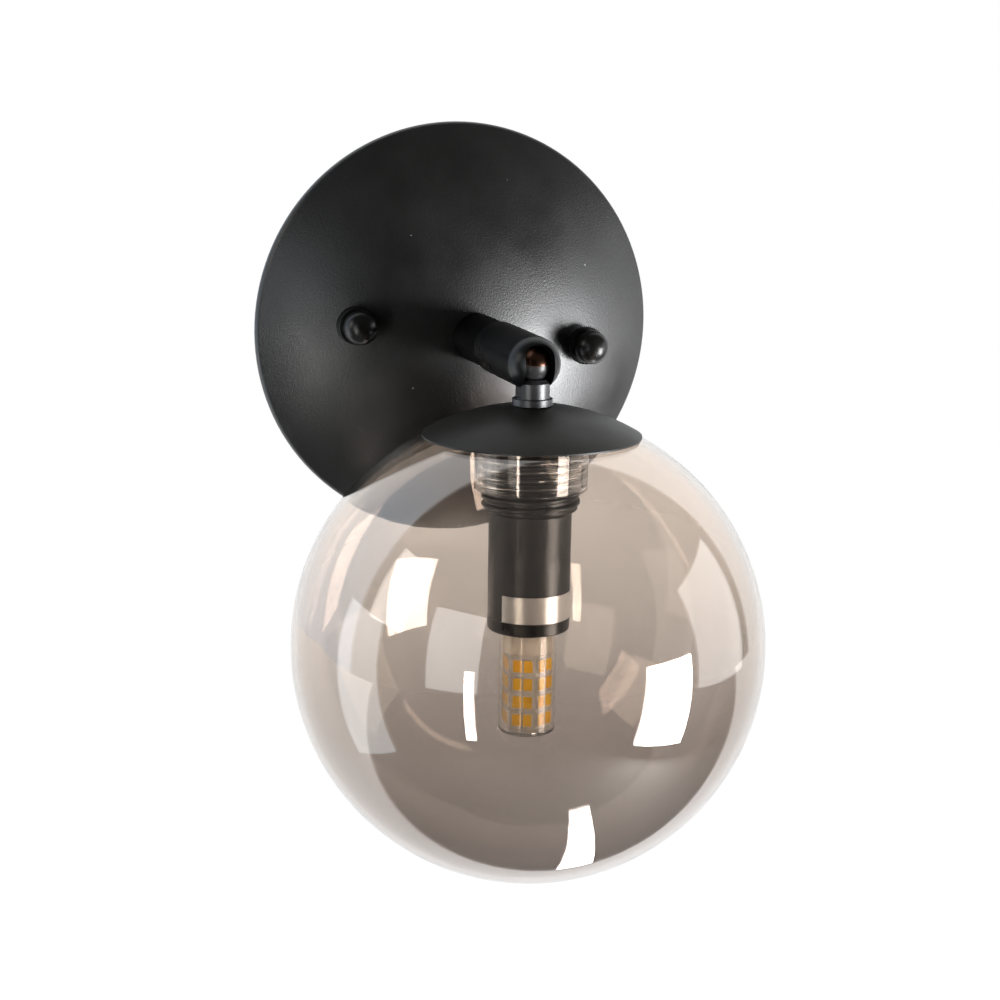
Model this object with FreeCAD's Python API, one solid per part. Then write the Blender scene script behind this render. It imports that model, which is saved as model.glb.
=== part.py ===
import FreeCAD
import Part
import math
import os
from FreeCAD import Vector

# Globe wall sconce. Millimetres, +Z up, front towards -Y, the wall is the plane Y = 0.
# The origin is the centre of the round backplate, on the wall.

# ---- Backplate: a shallow spun dish with a short skirt ----
plate_diameter = 130.0
plate_height = 24.0
plate_skirt = 2.0
plate_corner = 2.5
plate_sheet = 1.0

# ---- Wall crossbar inside the backplate ----
bracket_turn = 6.3           # degrees that the bar sits off level, right end low
bar_width = 18.0
bar_sheet = 1.5
bar_stand_off = 6.0          # the raised ends leave room for the stud heads
bar_ramp = 4.0
bar_head_gap = 3.05          # from a stud head to the foot of the ramp's top
bar_overhang = 8.15          # past each stud's axis
bar_corner = 3.0
cable_hole_radius = 6.0
wall_hole_radius = 2.3
wall_hole_spacing = 42.0
tongue_width = 14.0
tongue_setback = 0.5         # below the terminal block's top

# ---- Canopy studs and their nuts ----
stud_spacing = 75.7
stud_radius = 2.0
stud_hole_gap = 0.3
stud_head_radius = 3.8
stud_head_height = 2.4
stud_slot = (1.0, 1.2)       # width and depth
stud_tip = 0.5
stud_nut_flats = 7.0
stud_nut_height = 3.2
thread_clearance = 0.03

# ---- Ball nuts that hold the backplate ----
nut_ball_radius = 5.3
nut_collar_radius = 6.1
nut_collar_height = 3.0
nut_collar_edge = 0.5
nut_ball_rise = 3.6          # from the collar's front to the ball's centre
nut_bore_depth = 8.0
nut_tip_room = 0.6           # between the stud's tip and the end of the bore
nut_knurls = 36
nut_knurl_depth = 0.35
nut_seat_gap = 0.15
nut_running_clearance = 0.06

# ---- Arm: nipple, tube and lock nut ----
arm_radius = 7.5
arm_length = 21.4
arm_seat_gap = 0.1
arm_edge = 0.4
nipple_radius = 5.0
nipple_bore = 3.4
nipple_hole_gap = 0.2
nipple_tail = 2.0            # thread that stands out behind the lock nut
nipple_spigot_gap = 3.0
arm_washer_radius = 9.0
arm_washer_height = 1.0
arm_nut_flats = 14.0
arm_nut_height = 4.0

# ---- Knuckle: housing that turns on the arm and holds the ball ----
swivel_washer_radius = 7.0
swivel_washer_height = 0.4
swivel_gap = 0.1
knuckle_radius = 8.0
knuckle_length = 32.0        # rear face to the pivot
knuckle_edge = 0.8
ball_radius = 5.25
ball_clearance = 0.05
slot_width = 8.8
slot_back_clearance = 0.4
slot_end_angle = 20.0        # degrees above the arm's axis
spigot_length = 8.5
spigot_clearance = 0.04
spigot_bore = 2.6
spigot_head_radius = 6.2
spigot_head_length = 9.0
spigot_groove_depth = 0.8
spigot_groove_width = 3.4
grub_radius = 1.5
grub_inset = 4.5             # from the tube's front end
grub_sink = 0.3
grub_tip_gap = 0.1
grub_socket = (0.75, 1.3)    # apothem and depth
spring_count = 4
spring_sheet = 0.5
spring_cone = 0.4
spring_bore_gap = 0.2        # to the housing
spring_hole_radius = 2.7
spring_gap = 0.1
seat_fit = 0.1
seat_nose_gap = 0.3          # each side, in the slot
seat_nose_reach = 1.3        # how far the seat's cup reaches over the ball's back
seat_shoulder_gap = 0.2
seat_bore = 2.4

# ---- Ball and stem of the head ----
neck_radius = 3.0
neck_length = 4.6
neck_end_gap = 0.2
lead_bore = 2.0
stem_bore_step = 0.4
stem_radius = 5.2
stem_slot_gap = 0.2          # each side, between the stem's flats and the slot
stem_height = 5.4
stem_chamfer = 1.1
stem_groove_height = 0.3
stem_groove_depth = 0.3
stem_flange_radius = 5.9
stem_flange_height = 1.9
stem_ball_gap = 0.1
shank_radius = 5.0

# ---- Glass globe with its inward threaded neck ----
globe_diameter = 140.0
globe_wall = 1.8
mouth_length = 18.6          # from the lip's centre down to the neck's end
mouth_wall = 1.7
mouth_clearance = 0.5        # between thread crests and roots
mouth_lip_round = 2.2
mouth_inner_round = 2.0
thread_depth = 1.0
thread_pitch = 2.4
thread_base = 1.3
thread_crest = 0.7

# ---- Spun cap over the globe ----
cap_radius = 32.0
cap_sheet = 0.8
cap_globe_gap = 0.3
gasket_radius = 0.36
gasket_lip_gap = 0.1
gasket_cap_gap = 0.215

# ---- Threaded lampholder ----
holder_length = 60.95
holder_root_radius = 13.4
holder_radius = 12.1
holder_turns = 10
holder_turn_drop = 2.05      # from the holder's top to its highest ridge
holder_shoulder_drop = 1.4   # from its lowest ridge to the shoulder
holder_shoulder_height = 0.8
holder_top_plate = 3.5
holder_top_edge = 0.6
washer_radius = 9.0
washer_height = 1.0
washer_bore_gap = 0.1
shank_nut_flats = 14.0
shank_nut_height = 3.3
ring_height = 3.7
ring_floor = 1.2
ring_wall = 0.75
ring_fit = 0.05
ring_edge = 0.4
spigot_wall = 0.75
ring_screw_radius = 1.0
ring_screw_turn = -56.0      # degrees round from the front
ring_screw_fit = 0.02
ring_screw_slot = (0.35, 0.6)
core_clearance = 0.3
core_mouth_depth = 2.4
core_roof = 3.4
contact_spacing = 9.0
contact_foot = 0.4
contact_blade = 0.5
contact_width = 3.8
contact_over_pin = 2.0
contact_bridge = 0.6
chamber_gap = 0.3
label_height = 7.9
label_sheet = 0.15
label_gap = 0.05
label_ring_gap = 0.3
label_from = -58.0           # degrees round from the front
label_to = 95.0

# ---- Plug-in lamp ----
cover_radius = 8.45
cover_wall = 0.75
cover_corner = 1.2
cover_engage = 0.7           # how far its rim stands up inside the end ring
cover_ring_gap = 0.35
cover_end_gap = 0.55
base_fit = 0.2
base_drop = 6.6              # below the holder's end
base_shoulder_gap = 0.3
block_size = (13.0, 6.4)
block_height = 7.7
block_clearance = 0.3
pin_wire_radius = 0.45
pin_half_width = 1.0
pin_height = 6.8
board_turn = 30.0            # degrees, puts a corner to the front
board_sheet = 0.8
chip_width = 2.8
chip_height = 3.5
chip_depth = 0.7
chip_gap = 0.2
chip_cover_gap = 0.26
chip_rows = 4
chip_row_pitch = 5.5
first_row_inset = 3.6        # from the base down to the first row's middle
last_row_inset = 2.9
end_chips = 3
end_chip_radius = 3.2

# ---- Wiring and terminal block ----
lead_radius = 0.8
lead_gap = 0.05              # half of the gap between two leads side by side
lead_ball_gap = 0.3
lead_strip = 4.0             # length inside a terminal tube
lead_drop = 3.0
lead_bend = 2.4
head_lead_bend = 6.0
head_lead_straight = (4.0, 6.0)      # below the holder's plate and above the core
pole_pitch = 8.0
pole_count = 3
pole_depth = 4.6             # from the crossbar to a terminal tube's axis
block_cheek = 1.0
block_depth = 7.4
block_tall = 15.0
block_bottom = 11.5
tower_height = 12.0
tower_wall = 1.4
terminal_tube_radius = 2.2
terminal_tube_inset = 0.8
terminal_bore = 1.5
terminal_gap = 0.1
terminal_screw_radius = 1.5
terminal_screw_height = 3.0
terminal_screw_inset = 3.4
terminal_slot = (0.6, 0.8)
block_screw_radius = 1.25
block_screw_head_radius = 2.1
block_screw_head_height = 1.5
block_screw_slot = (0.6, 0.8)
wall_gap = 0.3               # screw tips stay this far off the wall
earth_screw_offset = 12.4
earth_head_radius = 3.4
earth_head_height = 2.2
earth_head_edge = 0.7
earth_slot = (0.9, 1.1)
earth_washer_height = 0.6
earth_washer_radius = 4.2
earth_washer_gap = 0.2
lug_sheet = 0.7
lug_neck = (3.2, 6.0)        # width and length
lug_hole_gap = 0.15
crimp_radius = 1.5
crimp_rise = 0.6
crimp_span = (4.6, 7.2)
earth_lead_straight = 2.2
earth_lead_bend = 1.2

# ---- For making the solids ----
over = 1.0                   # how far a cutter passes a surface
weld = 0.1                   # how far fused pieces run into each other
nut_corner_slope = 0.6

# ---- Places on the wall side, as distances from the wall ----
plate_radius = plate_diameter / 2
crown_height = plate_height - plate_skirt
crown_radius = (plate_radius ** 2 + crown_height ** 2) / (2 * crown_height)
globe_radius = globe_diameter / 2


def plate_front(radius):
    """Distance from the wall of the backplate's outer face."""
    return plate_height - crown_radius + math.sqrt(crown_radius ** 2 - radius ** 2)


def plate_inside(radius):
    inner = crown_radius - plate_sheet
    return plate_height - crown_radius + math.sqrt(inner ** 2 - radius ** 2)


stud_x = stud_spacing / 2
bar_front = bar_stand_off + bar_sheet
nut_back = plate_front(stud_x - nut_collar_radius) + nut_seat_gap
nut_ball_centre = nut_back + nut_collar_height + nut_ball_rise
stud_end = nut_back + nut_bore_depth - nut_tip_room

arm_back = plate_height + arm_seat_gap
arm_front = arm_back + arm_length
washer_front = plate_inside(arm_washer_radius)
lock_nut_front = washer_front - arm_washer_height
nipple_back = lock_nut_front - arm_nut_height - nipple_tail
nipple_front = arm_front - spigot_length - nipple_spigot_gap

spigot_radius = nipple_radius
knuckle_back = arm_front + swivel_washer_height + swivel_gap
arm_reach = knuckle_back + knuckle_length
bore_radius = ball_radius + ball_clearance
spigot_head_front = knuckle_back + spigot_head_length
spring_radius = bore_radius - spring_bore_gap
spring_step = spring_sheet + spring_cone
seat_back = spigot_head_front + spring_count * spring_step + 2 * spring_gap
slot_back = arm_reach - stem_radius - slot_back_clearance

block_middle = block_bottom + block_tall / 2
pole_out = bar_sheet + pole_depth
block_front = bar_sheet + block_depth
tower_front = bar_sheet + tower_height
block_screw_x = pole_pitch / 2   # the fixing screw passes between two poles
pole_places = [(i - (pole_count - 1) / 2) * pole_pitch for i in range(pole_count)]
screw_rise = block_tall / 2 - terminal_screw_inset
lead_offset = lead_radius + lead_gap

# ---- Places in the head, as heights above the globe's centre ----
mouth_radius = holder_root_radius + thread_depth + mouth_clearance
lip_across = mouth_radius + mouth_lip_round
lip_up = math.sqrt((globe_radius - mouth_lip_round) ** 2 - lip_across ** 2)
mouth_bottom = lip_up - mouth_length
gasket_up = lip_up + mouth_lip_round + gasket_lip_gap + gasket_radius
cap_over_gasket = gasket_up + gasket_radius + gasket_cap_gap
cap_inner_rim = cap_radius - cap_sheet
cap_rim_height = math.sqrt(globe_radius ** 2 - cap_inner_rim ** 2) + cap_globe_gap
# The cap's inner sphere passes through its rim and just over the gasket.
cap_centre = ((cap_inner_rim ** 2 + cap_rim_height ** 2 - lip_across ** 2 - cap_over_gasket ** 2)
              / (2 * (cap_rim_height - cap_over_gasket)))
cap_inner_sphere = math.hypot(cap_inner_rim, cap_rim_height - cap_centre)
cap_crown = cap_centre + cap_inner_sphere + cap_sheet
stem_top_drop = math.sqrt(ball_radius ** 2 - neck_radius ** 2) + stem_ball_gap
flange_bottom_drop = stem_top_drop + stem_height + stem_groove_height + stem_flange_height
globe_drop = cap_crown + flange_bottom_drop
globe_centre = Vector(0, -arm_reach, -globe_drop)

washer_top = cap_centre + math.sqrt(cap_inner_sphere ** 2 - washer_radius ** 2)
nut_top = washer_top - washer_height
holder_top = nut_top - shank_nut_height
plate_bottom = holder_top - holder_top_plate
highest_ridge = holder_top - holder_turn_drop
lowest_ridge = highest_ridge - (holder_turns - 1) * thread_pitch
holder_shoulder = lowest_ridge - holder_shoulder_drop
holder_bottom = holder_top - holder_length
ring_top = holder_bottom + ring_height
ring_opening = cover_radius + cover_ring_gap
holder_bore = holder_radius - ring_wall - spigot_wall

core_radius = holder_bore - core_clearance
core_bottom = holder_bottom + ring_floor + core_clearance
mouth_end = core_bottom + core_mouth_depth
base_shoulder = mouth_end - base_shoulder_gap
block_top = base_shoulder + block_height
pin_top = block_top + pin_height
contact_bottom = block_top + block_clearance + contact_foot
contact_top = pin_top + contact_over_pin
core_top = contact_top + core_roof

cover_bore = cover_radius - cover_wall
cover_rim = holder_bottom + cover_engage
base_radius = cover_bore - base_fit
base_bottom = holder_bottom - base_drop
board_apothem = math.sqrt((cover_bore - chip_cover_gap) ** 2 - (chip_width + chip_gap / 2) ** 2) - chip_depth
first_row = base_bottom - first_row_inset
board_bottom = first_row - (chip_rows - 1) * chip_row_pitch - last_row_inset
cover_bottom = board_bottom - chip_depth - cover_end_gap - cover_wall


def section(points):
    """Flat face in the XZ plane. A point is (r, h), or (r, h, via_r, via_h) when an arc leads to it."""
    edges = []
    start = Vector(points[-1][0], 0, points[-1][1])
    for point in points:
        end = Vector(point[0], 0, point[1])
        if len(point) == 4:
            edges.append(Part.Arc(start, Vector(point[2], 0, point[3]), end).toShape())
        else:
            edges.append(Part.LineSegment(start, end).toShape())
        start = end
    return Part.Face(Part.Wire(edges))


def turned(points):
    """Solid of revolution about Z of a half section."""
    solid = section(points).revolve(Vector(0, 0, 0), Vector(0, 0, 1), 360)
    return solid if solid.Volume > 0 else solid.reversed()


def rod(radius, low, high):
    return Part.makeCylinder(radius, high - low, Vector(0, 0, low))


def tube(radius, bore, low, high):
    return turned([(bore, low), (radius, low), (radius, high), (bore, high)])


def block(x_size, y_size, low, high):
    """Box centred on the Z axis."""
    return Part.makeBox(x_size, y_size, high - low, Vector(-x_size / 2, -y_size / 2, low))


def polygon_rod(points, low, high):
    corners = [Vector(x, y, low) for x, y in points]
    return Part.Face(Part.makePolygon(corners + corners[:1])).extrude(Vector(0, 0, high - low))


def hexagon(apothem, first_corner=0.0):
    corner_radius = apothem / math.cos(math.pi / 6)
    angles = [math.radians(first_corner + 60 * i) for i in range(6)]
    return [(corner_radius * math.cos(a), corner_radius * math.sin(a)) for a in angles]


def hex_nut(flats, bore, low, high):
    """Hexagon nut with its outer corners turned off at both faces."""
    apothem = flats / 2
    corner = apothem / math.cos(math.pi / 6)
    drop = (corner - apothem) * nut_corner_slope
    barrel = turned([(0, low), (apothem, low), (corner, low + drop), (corner, high - drop),
                     (apothem, high), (0, high)])
    nut = polygon_rod(hexagon(apothem), low, high).common(barrel)
    return nut.cut(rod(bore, low - over, high + over))


def slotted(shape, width, low, high):
    """Screwdriver slot across a head."""
    return shape.cut(block(2 * shape.BoundBox.DiagonalLength, width, low, high))


def moved(shape, x=0.0, y=0.0, z=0.0):
    shape = shape.copy()
    shape.translate(Vector(x, y, z))
    return shape


def turned_by(shape, angle, axis):
    """Turn about an axis through the origin."""
    shape = shape.copy()
    shape.rotate(Vector(0, 0, 0), axis, angle)
    return shape


def out_from_wall(shape, x=0.0, z=0.0):
    """Turn a piece built along +Z so that its height becomes its distance from the wall."""
    return moved(turned_by(shape, 90, Vector(1, 0, 0)), x, 0, z)


def on_bracket(shape):
    """Turn a level piece with the crossbar."""
    return turned_by(shape, bracket_turn, Vector(0, 1, 0))


def on_head(shape):
    """Move a piece built about the globe's centre to its place."""
    return moved(shape, *globe_centre)


def lead(points, radius, bend):
    """Round wire along straight runs joined by arcs of one radius."""
    edges = []
    start = points[0]
    for before, corner, after in zip(points, points[1:], points[2:]):
        inward = (before - corner).normalize()
        outward = (after - corner).normalize()
        half = inward.getAngle(outward) / 2
        reach = bend / math.tan(half)
        centre = corner + (inward + outward).normalize() * (bend / math.sin(half))
        middle = centre + (corner - centre).normalize() * bend
        first = corner + inward * reach
        last = corner + outward * reach
        edges.append(Part.LineSegment(start, first).toShape())
        edges.append(Part.Arc(first, middle, last).toShape())
        start = last
    edges.append(Part.LineSegment(start, points[-1]).toShape())
    path = Part.Wire(edges)
    ring = Part.Wire(Part.makeCircle(radius, points[0], points[1] - points[0]))
    return path.makePipeShell([ring], True, False)


# ---- Wall side ----
def dish(radius, sphere_radius, height, corner):
    """Solid dish: a spherical crown cut by a cylinder, with its edge rounded."""
    ball = Part.makeSphere(sphere_radius, Vector(0, 0, height - sphere_radius))
    solid = ball.common(rod(radius, 0, height + over))
    rim = height - sphere_radius + math.sqrt(sphere_radius ** 2 - radius ** 2)
    edges = [e for e in solid.Edges if abs(e.BoundBox.Center.z - rim) < weld and e.BoundBox.ZLength < weld]
    return solid.makeFillet(corner, edges)


def backplate():
    outer = dish(plate_radius, crown_radius, plate_height, plate_corner)
    inner = dish(plate_radius - plate_sheet, crown_radius - plate_sheet,
                 plate_height - plate_sheet, plate_corner - plate_sheet)
    plate = out_from_wall(outer.cut(inner))
    plate = plate.cut(out_from_wall(rod(nipple_radius + nipple_hole_gap, 0, plate_height + over)))
    for side in (-1, 1):
        hole = out_from_wall(rod(stud_radius + stud_hole_gap, 0, plate_height + over), side * stud_x)
        plate = plate.cut(on_bracket(hole))
    return plate


def wall_crossbar():
    end = stud_x + bar_overhang
    ramp_end = stud_x - stud_head_radius - bar_head_gap
    flat = ramp_end - bar_ramp
    wall_face = [(-end, bar_stand_off), (-ramp_end, bar_stand_off), (-flat, 0),
                 (flat, 0), (ramp_end, bar_stand_off), (end, bar_stand_off)]
    front_face = [(x, out + bar_sheet) for x, out in reversed(wall_face)]
    corners = [Vector(x, -out, -bar_width / 2) for x, out in wall_face + front_face]
    bar = Part.Face(Part.makePolygon(corners + corners[:1])).extrude(Vector(0, 0, bar_width))
    bar = bar.makeFillet(bar_corner, [e for e in bar.Edges if abs(abs(e.BoundBox.Center.x) - end) < weld
                                      and abs(e.BoundBox.YLength - bar_sheet) < weld])
    top = block_bottom + block_tall - tongue_setback
    tongue = Part.makeBox(tongue_width, bar_sheet, top, Vector(-tongue_width / 2, -bar_sheet, 0))
    tongue = tongue.makeFillet(bar_corner, [e for e in tongue.Edges if abs(e.BoundBox.Center.z - top) < weld
                                            and e.BoundBox.XLength < weld])
    bar = bar.fuse(tongue).removeSplitter()
    tapped = stud_radius + thread_clearance
    holes = [(0, 0, cable_hole_radius), (-earth_screw_offset, 0, tapped),
             (block_screw_x, block_middle, block_screw_radius + thread_clearance)]
    for side in (-1, 1):
        holes.append((side * wall_hole_spacing / 2, 0, wall_hole_radius))
        holes.append((side * stud_x, 0, tapped))
    for x, z, radius in holes:
        bar = bar.cut(out_from_wall(rod(radius, -over, bar_front + over), x, z))
    return on_bracket(bar)


def canopy_studs():
    """Two studs, each with a slotted head against the crossbar's back."""
    slot, depth = stud_slot
    head_back = bar_stand_off - stud_head_height
    head = slotted(rod(stud_head_radius, head_back, bar_stand_off), slot, head_back - over, head_back + depth)
    shaft = rod(stud_radius, bar_stand_off - weld, stud_end - stud_tip)
    tip = Part.makeCone(stud_radius, stud_radius - stud_tip, stud_tip, Vector(0, 0, stud_end - stud_tip))
    stud = head.fuse([shaft, tip]).removeSplitter()
    return Part.makeCompound([on_bracket(out_from_wall(stud, side * stud_x)) for side in (-1, 1)])


def stud_nuts():
    nut = hex_nut(stud_nut_flats, stud_radius + thread_clearance, bar_front, bar_front + stud_nut_height)
    return Part.makeCompound([on_bracket(out_from_wall(nut, side * stud_x)) for side in (-1, 1)])


def earth_washer():
    hole = stud_radius + earth_washer_gap
    ring = tube(earth_washer_radius, hole, bar_sheet, bar_sheet + earth_washer_height)
    return on_bracket(out_from_wall(ring, -earth_screw_offset))


def earth_screw():
    slot, depth = earth_slot
    seat = bar_sheet + earth_washer_height + lug_sheet
    front = seat + earth_head_height
    head = turned([(0, seat), (earth_head_radius, seat), (earth_head_radius, front - earth_head_edge),
                   (earth_head_radius - earth_head_edge, front), (0, front)])
    screw = head.fuse(rod(stud_radius, wall_gap, seat + weld)).removeSplitter()
    screw = slotted(screw, slot, front - depth, front + over)
    return on_bracket(out_from_wall(screw, -earth_screw_offset))


# ---- Terminal block on the crossbar's tongue ----
def pole_rods(radius, low, high):
    """Upright rods, one on each pole's axis."""
    return [moved(rod(radius, low, high), x, -pole_out) for x in pole_places]


def screw_places():
    return [(x, block_middle + side * screw_rise) for x in pole_places for side in (-1, 1)]


def terminal_block():
    across = pole_count * pole_pitch + 2 * block_cheek
    body = Part.makeBox(across, block_depth, block_tall, Vector(-across / 2, -block_front, block_bottom))
    for x, z in screw_places():
        tower = rod(terminal_screw_radius + tower_wall, bar_sheet + over, tower_front)
        body = body.fuse(out_from_wall(tower, x, z))
    body = body.removeSplitter()
    for channel in pole_rods(terminal_tube_radius + terminal_gap, block_bottom - over,
                             block_bottom + block_tall + over):
        body = body.cut(channel)
    for x, z in screw_places():
        passage = rod(terminal_screw_radius + terminal_gap, pole_out, tower_front + over)
        body = body.cut(out_from_wall(passage, x, z))
    middle = rod(block_screw_radius + thread_clearance, 0, tower_front + over)
    return on_bracket(body.cut(out_from_wall(middle, block_screw_x, block_middle)))


def block_screw():
    slot, depth = block_screw_slot
    head_front = block_front + block_screw_head_height
    screw = rod(block_screw_head_radius, block_front, head_front)
    screw = screw.fuse(rod(block_screw_radius, wall_gap, block_front + weld)).removeSplitter()
    screw = slotted(screw, slot, head_front - depth, head_front + over)
    return on_bracket(out_from_wall(screw, block_screw_x, block_middle))


def terminal_tubes():
    low = block_bottom + terminal_tube_inset
    high = block_bottom + block_tall - terminal_tube_inset
    tapped = []
    for pole, bore in zip(pole_rods(terminal_tube_radius, low, high),
                          pole_rods(terminal_bore, low - over, high + over)):
        pole = pole.cut(bore)
        for x, z in screw_places():
            tap = rod(terminal_screw_radius, pole_out, pole_out + terminal_tube_radius + over)
            pole = pole.cut(out_from_wall(tap, x, z))
        tapped.append(on_bracket(pole))
    return Part.makeCompound(tapped)


def terminal_screws():
    slot, depth = terminal_slot
    low = pole_out + lead_radius + terminal_gap
    high = low + terminal_screw_height
    screw = slotted(rod(terminal_screw_radius - thread_clearance, low, high), slot, high - depth, high + over)
    return Part.makeCompound([on_bracket(out_from_wall(screw, x, z)) for x, z in screw_places()])


def supply_leads():
    """Live and neutral, from the block through the arm to just behind the ball."""
    end = arm_reach - ball_radius - lead_ball_gap
    leads = []
    for x, side in ((pole_places[-1], 1), (pole_places[1], -1)):
        start = on_bracket(Part.Vertex(Vector(x, -pole_out, block_bottom + lead_strip))).Point
        below = on_bracket(Part.Vertex(Vector(x, -pole_out, block_bottom - lead_drop))).Point
        turn = Vector(side * lead_offset, -pole_out, 0)
        leads.append(lead([start, below, turn, Vector(side * lead_offset, -end, 0)], lead_radius, lead_bend))
    return Part.makeCompound(leads)


def earth_lead():
    """Ring lug under the earth screw, its crimp, and the lead up to the first pole."""
    x = -earth_screw_offset
    low = bar_sheet + earth_washer_height
    neck, neck_end = lug_neck
    lug = out_from_wall(rod(earth_head_radius, low, low + lug_sheet), x)
    lug = lug.fuse(Part.makeBox(neck, lug_sheet, neck_end, Vector(x - neck / 2, -low - lug_sheet, 0)))
    lug = lug.cut(out_from_wall(rod(stud_radius + lug_hole_gap, 0, low + lug_sheet + over), x))
    out = low + lug_sheet / 2 + crimp_rise
    crimp = moved(rod(crimp_radius, *crimp_span), x, -out)
    end_x = pole_places[0]
    wire = lead([Vector(x, -out, neck_end), Vector(x, -out, neck_end + earth_lead_straight),
                 Vector(end_x, -pole_out, block_bottom - weld),
                 Vector(end_x, -pole_out, block_bottom + lead_strip)], lead_radius, earth_lead_bend)
    return on_bracket(lug.fuse([crimp, wire]).removeSplitter())


# ---- Arm ----
def arm_nipple():
    return out_from_wall(tube(nipple_radius, nipple_bore, nipple_back, nipple_front))


def arm_washer():
    hole = nipple_radius + washer_bore_gap
    return out_from_wall(tube(arm_washer_radius, hole, lock_nut_front, washer_front))


def arm_lock_nut():
    return out_from_wall(hex_nut(arm_nut_flats, nipple_radius + thread_clearance,
                                 lock_nut_front - arm_nut_height, lock_nut_front))


def arm_tube():
    bore = nipple_radius + spigot_clearance
    body = turned([(bore, arm_back), (arm_radius, arm_back), (arm_radius, arm_front - arm_edge),
                   (arm_radius - arm_edge, arm_front), (bore, arm_front)])
    hole = rod(grub_radius + thread_clearance, -arm_radius - over, 0)
    return out_from_wall(body).cut(moved(hole, y=-(arm_front - grub_inset)))


def swivel_grub_screw():
    """Socket screw from below, whose tip runs in the spigot's groove."""
    socket, depth = grub_socket
    bottom = grub_sink - arm_radius
    screw = rod(grub_radius, bottom, spigot_groove_depth - grub_tip_gap - spigot_radius)
    screw = screw.cut(polygon_rod(hexagon(socket), bottom - over, bottom + depth))
    return moved(screw, y=-(arm_front - grub_inset))


def swivel_washer():
    return out_from_wall(tube(swivel_washer_radius, spigot_radius + washer_bore_gap,
                              arm_front, arm_front + swivel_washer_height))


def ball_nut(side):
    """Ball on a knurled collar, with a blind threaded hole from behind."""
    knurl = []
    for i in range(2 * nut_knurls):
        radius = nut_collar_radius - (nut_knurl_depth if i % 2 else 0)
        angle = math.pi * i / nut_knurls
        knurl.append((radius * math.cos(angle), radius * math.sin(angle)))
    front = nut_back + nut_collar_height
    inset = nut_collar_radius - nut_collar_edge
    edge = turned([(0, nut_back), (inset, nut_back), (nut_collar_radius, nut_back + nut_collar_edge),
                   (nut_collar_radius, front - nut_collar_edge), (inset, front), (0, front)])
    ball = Part.makeSphere(nut_ball_radius, Vector(0, 0, nut_ball_centre))
    ball_end = nut_ball_centre + 2 * nut_ball_radius
    ball = ball.common(rod(2 * nut_ball_radius, front - nut_collar_edge, ball_end))
    nut = polygon_rod(knurl, nut_back, front).common(edge).fuse(ball)
    nut = nut.cut(rod(stud_radius + nut_running_clearance, nut_back - over, nut_back + nut_bore_depth))
    return on_bracket(out_from_wall(nut, side * stud_x))


# ---- Knuckle ----
def slot_cutter():
    """Slot from the underside of the knuckle up its nose, with a round top end."""
    reach = knuckle_radius + 2 * over
    half = slot_width / 2
    below = Part.makeBox(slot_width, arm_reach - slot_back + reach, reach,
                         Vector(-half, -arm_reach - reach, -reach))
    nose = Part.makeBox(slot_width, reach, reach, Vector(-half, -reach, -reach))
    arch = Part.makeCylinder(half, reach, Vector(0, 0, 0), Vector(0, -1, 0))
    rounded = turned_by(nose.fuse(arch), -slot_end_angle, Vector(1, 0, 0))
    return below.fuse(moved(rounded, y=-arm_reach))


def knuckle_housing():
    nose = arm_reach + knuckle_radius
    high = math.sqrt(0.5)
    rear_bore = spigot_head_radius + thread_clearance
    shell = turned([(rear_bore, knuckle_back), (knuckle_radius - knuckle_edge, knuckle_back),
                    (knuckle_radius, knuckle_back + knuckle_edge), (knuckle_radius, arm_reach),
                    (0, nose, knuckle_radius * high, arm_reach + knuckle_radius * high),
                    (0, arm_reach + bore_radius),
                    (bore_radius, arm_reach, bore_radius * high, arm_reach + bore_radius * high),
                    (bore_radius, spigot_head_front), (rear_bore, spigot_head_front)])
    return out_from_wall(shell).cut(slot_cutter())


def knuckle_spigot():
    """Turned plug: its shank turns in the arm tube, its head screws into the housing."""
    groove_middle = arm_front - grub_inset
    low, high = groove_middle - spigot_groove_width / 2, groove_middle + spigot_groove_width / 2
    groove = spigot_radius - spigot_groove_depth
    back = arm_front - spigot_length
    return out_from_wall(turned([
        (spigot_bore, back), (spigot_radius, back), (spigot_radius, low), (groove, low), (groove, high),
        (spigot_radius, high), (spigot_radius, knuckle_back), (spigot_head_radius, knuckle_back),
        (spigot_head_radius, spigot_head_front), (spigot_bore, spigot_head_front)]))


def disc_springs():
    """Coned washers stacked face about, that press the seat on the ball."""
    springs = []
    for i in range(spring_count):
        low = spigot_head_front + spring_gap + i * spring_step
        inner, outer = (0, spring_cone) if i % 2 else (spring_cone, 0)
        springs.append(out_from_wall(turned([
            (spring_hole_radius, low + inner), (spring_radius, low + outer),
            (spring_radius, low + outer + spring_sheet), (spring_hole_radius, low + inner + spring_sheet)])))
    return Part.makeCompound(springs)


def ball_seat():
    """Cup behind the ball, with a narrow nose that fits between the slot's walls."""
    front = arm_reach - ball_radius + seat_nose_reach
    shoulder = slot_back - seat_shoulder_gap
    wide = bore_radius - seat_fit
    nose = slot_width / 2 - seat_nose_gap
    body = turned([(seat_bore, seat_back), (wide, seat_back), (wide, shoulder), (nose, shoulder),
                   (nose, front), (seat_bore, front)])
    return out_from_wall(body.cut(Part.makeSphere(bore_radius, Vector(0, 0, arm_reach))))


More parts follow.
